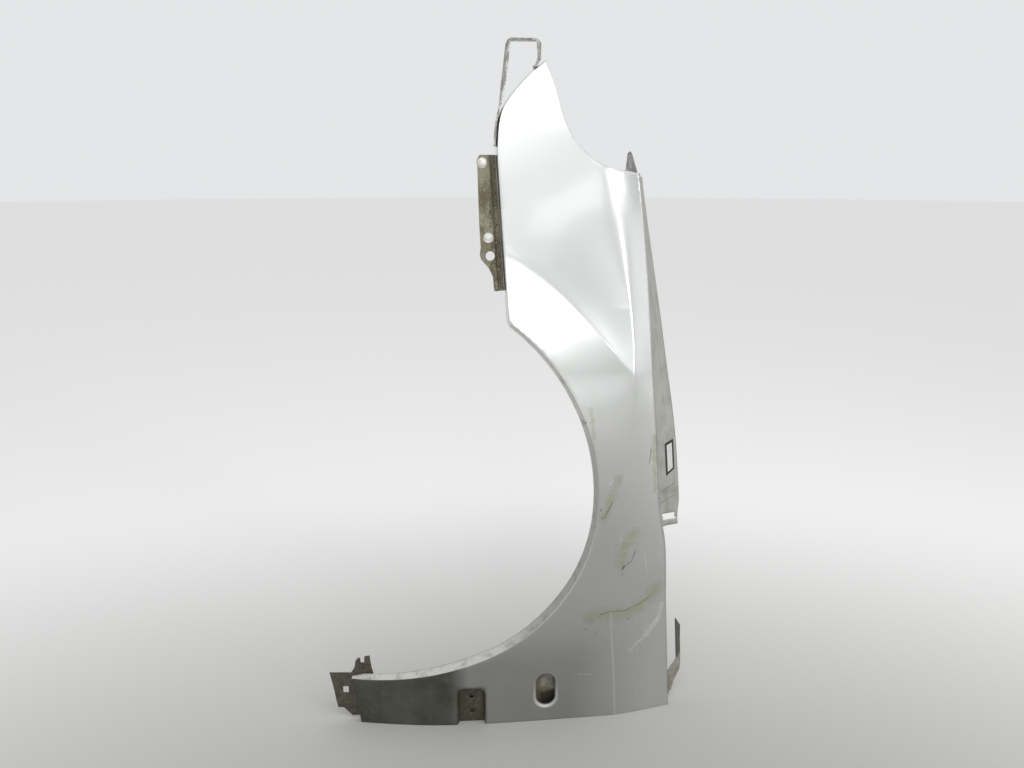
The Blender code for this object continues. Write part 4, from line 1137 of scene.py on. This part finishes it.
def lip_paint():
    # Pale paint of the wheel arch lip with stains along it, paler towards the sill and the front:
    # scoured paint, with painted light on the upturned part by the sill
    look = Look("arch_lip_paint")
    stain = look.grain(55.0, 5.0, 0.48, 0.68)
    scoured_and_lit = look.most(look.between(look.axis("X"), *LIP_PALE_REACH),
                        look.between(look.axis("Z"), *LIP_PALE_HEIGHTS))
    colour = look.blend(scoured_and_lit, (0.30, 0.30, 0.285), (0.50, 0.495, 0.465))
    colour = look.lay(colour, stain, 0.55, (0.20, 0.188, 0.150))
    return look.finish(Base_Color=colour, Metallic=0.2, Roughness=look.ramp(stain, 0.42, 0.70),
                       Coat_Weight=0.2,
                       Normal=look.bump(look.noise(220.0, 3.0), DULL_PAINT_BUMP))


def inner_paint():
    # The inboard side: thin silver over primer, dusty and more stained low down
    look = Look("inner_paint")
    dirt = look.times(look.grain(26.0, 7.0, 0.34, 0.74, stretch=(1.0, 1.0, 0.5)),
                      look.between(look.axis("Z"), *INNER_DIRT_HEIGHTS, 0.30, 0.85))
    colour = look.blend(dirt, (0.38, 0.38, 0.37), (0.17, 0.155, 0.12))
    return look.finish(Base_Color=colour, Metallic=0.35, Roughness=look.ramp(dirt, 0.50, 0.80),
                       Normal=look.bump(look.noise(300.0, 4.0), INNER_BUMP))


def soiled_steel(name, clean, dirt, crust):
    look = Look(name)
    patches = look.grain(70.0, 6.0, 0.42, 0.60)
    grit = look.grain(420.0, 4.0, 0.50, 0.66)
    height = look.sum("ADD", look.noise(260.0, 5.0, roughness=0.7), patches)
    return look.finish(Base_Color=look.lay(look.blend(patches, clean, dirt), grit, 0.75, crust),
                       Metallic=look.ramp(patches, 0.55, 0.05),
                       Roughness=look.ramp(patches, 0.42, 0.85),
                       Normal=look.bump(height, STEEL_BUMP))


def spots(look, places, radius):
    # Round patches at places in the XZ plane
    flat = look.vector("MULTIPLY", look.place, (1.0, 0.0, 1.0))
    distances = [look.measure("DISTANCE", flat, (x, 0.0, z)) for x, z in places]
    return look.most(*(look.between(far, radius, radius * SPOT_CORE_SHARE) for far in distances))


def bumper_steel():
    # Dirty olive plate with bare welded bosses painted bright as a glint, and a crusty channel
    # beside the skin with painted shade in it
    look = Look("bumper_bracket_steel")
    patches = look.grain(48.0, 6.0, 0.40, 0.62, stretch=(1.0, 1.0, 0.45))
    grit = look.grain(380.0, 5.0, 0.46, 0.60, roughness=0.75)
    colour = look.blend(patches, (0.250, 0.232, 0.165), (0.120, 0.102, 0.058))
    # The channel beside the skin darkened with grit and painted shade
    channel = look.between(look.axis("X"), *BUMPER_CHANNEL_REACH)
    channel_grit_and_shade = look.times(grit, look.ramp(channel, 0.30, 0.95))
    colour = look.blend(channel_grit_and_shade, colour, (0.045, 0.038, 0.026))
    colour = look.lay(colour, look.grain(240.0, 4.0, 0.58, 0.68), 0.55, (0.50, 0.48, 0.41))
    # Bare metal of the bosses, painted bright as a glint
    bare_and_glint = spots(look, BUMPER_BOSSES, BUMPER_BOSS_RADIUS)
    height = look.sum("ADD", look.noise(260.0, 5.0, roughness=0.7), patches)
    return look.finish(Base_Color=look.lay(colour, bare_and_glint, 0.90, (0.74, 0.74, 0.70)),
                       Metallic=look.ramp(bare_and_glint, 0.15, 0.65),
                       Roughness=look.ramp(bare_and_glint, 0.74, 0.38),
                       Normal=look.bump(height, CRUST_BUMP))


def brace_steel():
    # Grey plate with, on its outboard side, mud along one side and a shadowy lower end
    look = Look("inner_brace_steel")
    rough = look.noise(60.0, 6.0, roughness=0.7)
    normal = look.tree.nodes.new("ShaderNodeTexCoord").outputs["Normal"]
    outboard = look.between(look.axis("Y", normal), 0.2, -0.2)
    colour = look.blend(look.between(rough, 0.38, 0.62), (0.300, 0.295, 0.270),
                        (0.150, 0.135, 0.085))
    low = look.sum("ADD", look.axis("Z"), look.times(rough, BRACE_SHADE_PUSH))
    low = look.times(look.between(low, *BRACE_SHADE_HEIGHTS), outboard)
    colour = look.blend(low, colour, (0.030, 0.026, 0.018))
    mud = look.sum("ADD", look.axis("X"), look.times(rough, BRACE_MUD_PUSH))
    mud = look.times(look.between(mud, *BRACE_MUD_REACH), outboard)
    colour = look.lay(colour, mud, 0.85, (0.135, 0.108, 0.055))
    return look.finish(Base_Color=colour, Metallic=0.1, Roughness=0.8,
                       Normal=look.bump(look.noise(300.0, 5.0, roughness=0.7), STEEL_BUMP))


def cowl_steel():
    # Dark strip above a paler dusty foot
    look = Look("cowl_bracket_steel")
    colour = look.blend(look.grain(90.0, 5.0, 0.38, 0.62), (0.270, 0.262, 0.222),
                        (0.190, 0.178, 0.140))
    strip = look.between(look.axis("Z"), *COWL_STRIP_HEIGHTS)
    return look.finish(Base_Color=look.lay(colour, strip, 0.85, (0.045, 0.040, 0.030)),
                       Metallic=0.2, Roughness=0.72,
                       Normal=look.bump(look.noise(300.0, 5.0, roughness=0.7), COWL_BUMP))


def dress_brackets():
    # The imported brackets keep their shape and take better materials
    galvanised = soiled_steel("galvanised_bracket_steel", (0.50, 0.50, 0.48), (0.26, 0.245, 0.205),
                              (0.11, 0.10, 0.08))
    dark = soiled_steel("dark_bracket_steel", (0.120, 0.108, 0.085), (0.058, 0.047, 0.032),
                        (0.02, 0.018, 0.015))
    grey = soiled_steel("corner_tab_steel", (0.25, 0.25, 0.24), (0.16, 0.16, 0.15),
                        (0.07, 0.07, 0.065))
    looks = {"headlamp_strap_bracket": galvanised, "bumper_side_bracket": bumper_steel(),
             "sill_bracket": dark, "cowl_bracket": cowl_steel(), "headlamp_corner_tab": grey,
             "rear_inner_brace": brace_steel()}
    for name, look in looks.items():
        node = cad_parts[name]
        node.data.materials.clear()
        node.data.materials.append(look)


def floor():
    # A pale floor, a little darker before the skin where shade is painted
    turns = [2.0 * math.pi * index / FLOOR_CORNERS for index in range(FLOOR_CORNERS)]
    rim = [(FLOOR_RADIUS * math.cos(turn), FLOOR_RADIUS * math.sin(turn), 0.0) for turn in turns]
    look = Look("floor")
    offset = look.vector("SUBTRACT", look.place, FLOOR_SHADE_PLACE)
    offset = look.vector("MULTIPLY", offset, FLOOR_SHADE_STRETCH)
    away = look.between(look.measure("LENGTH", offset), *FLOOR_SHADE_REACH)
    paint = look.finish(Base_Color=look.blend(away, (0.39, 0.385, 0.37), (0.92, 0.915, 0.90)),
                        Roughness=0.7)
    mesh_object("floor", rim, [tuple(range(FLOOR_CORNERS))], (paint,))


def backdrop():
    # Pale studio air, a touch lighter before the skin than behind it
    world = bpy.data.worlds.new("studio")
    bpy.context.scene.world = world
    world.use_nodes = True
    nodes = world.node_tree.nodes
    links = world.node_tree.links
    background = nodes["Background"]
    place = nodes.new("ShaderNodeTexCoord")
    split = nodes.new("ShaderNodeSeparateXYZ")
    links.new(place.outputs["Generated"], split.inputs[0])
    front = nodes.new("ShaderNodeMapRange")
    for socket, value in AIR_STRENGTH.items():
        front.inputs[socket].default_value = value
    links.new(split.outputs["Y"], front.inputs["Value"])
    links.new(front.outputs[0], background.inputs["Strength"])
    background.inputs["Color"].default_value = (*AIR_COLOUR, 1.0)


def soft_lamp(name, azimuth, elevation, distance, size, radiance):
    # A flat soft light that faces the part from a direction given in degrees
    lamp = bpy.data.lights.new(name, "AREA")
    lamp.shape = "RECTANGLE"
    lamp.size = size[0]
    lamp.size_y = size[1]
    lamp.energy = radiance * math.pi * size[0] * size[1]
    lamp.spread = LAMP_SPREAD
    side = math.radians(azimuth)
    lift = math.radians(elevation)
    toward = Vector((math.sin(side) * math.cos(lift), -math.cos(side) * math.cos(lift),
                     math.sin(lift)))
    made = scene_object(name, lamp)
    made.location = LAMP_AIM + toward * distance
    made.rotation_euler = (-toward).to_track_quat("-Z", "Y").to_euler()


def camera():
    lens = bpy.data.cameras.new("camera")
    lens.lens = CAMERA_LENS
    lens.sensor_width = CAMERA_SENSOR
    made = scene_object("camera", lens)
    made.location = CAMERA_PLACE
    made.rotation_euler = CAMERA_TURN
    bpy.context.scene.camera = made


def build():
    camera()
    ledge_label(fender_skin(silver_paint(), inner_paint(), ledge_paint(), lip_paint()))
    dress_brackets()
    floor()
    backdrop()
    for lamp in LAMPS:
        soft_lamp(*lamp)
    bpy.context.scene.view_settings.view_transform = "Standard"


build()
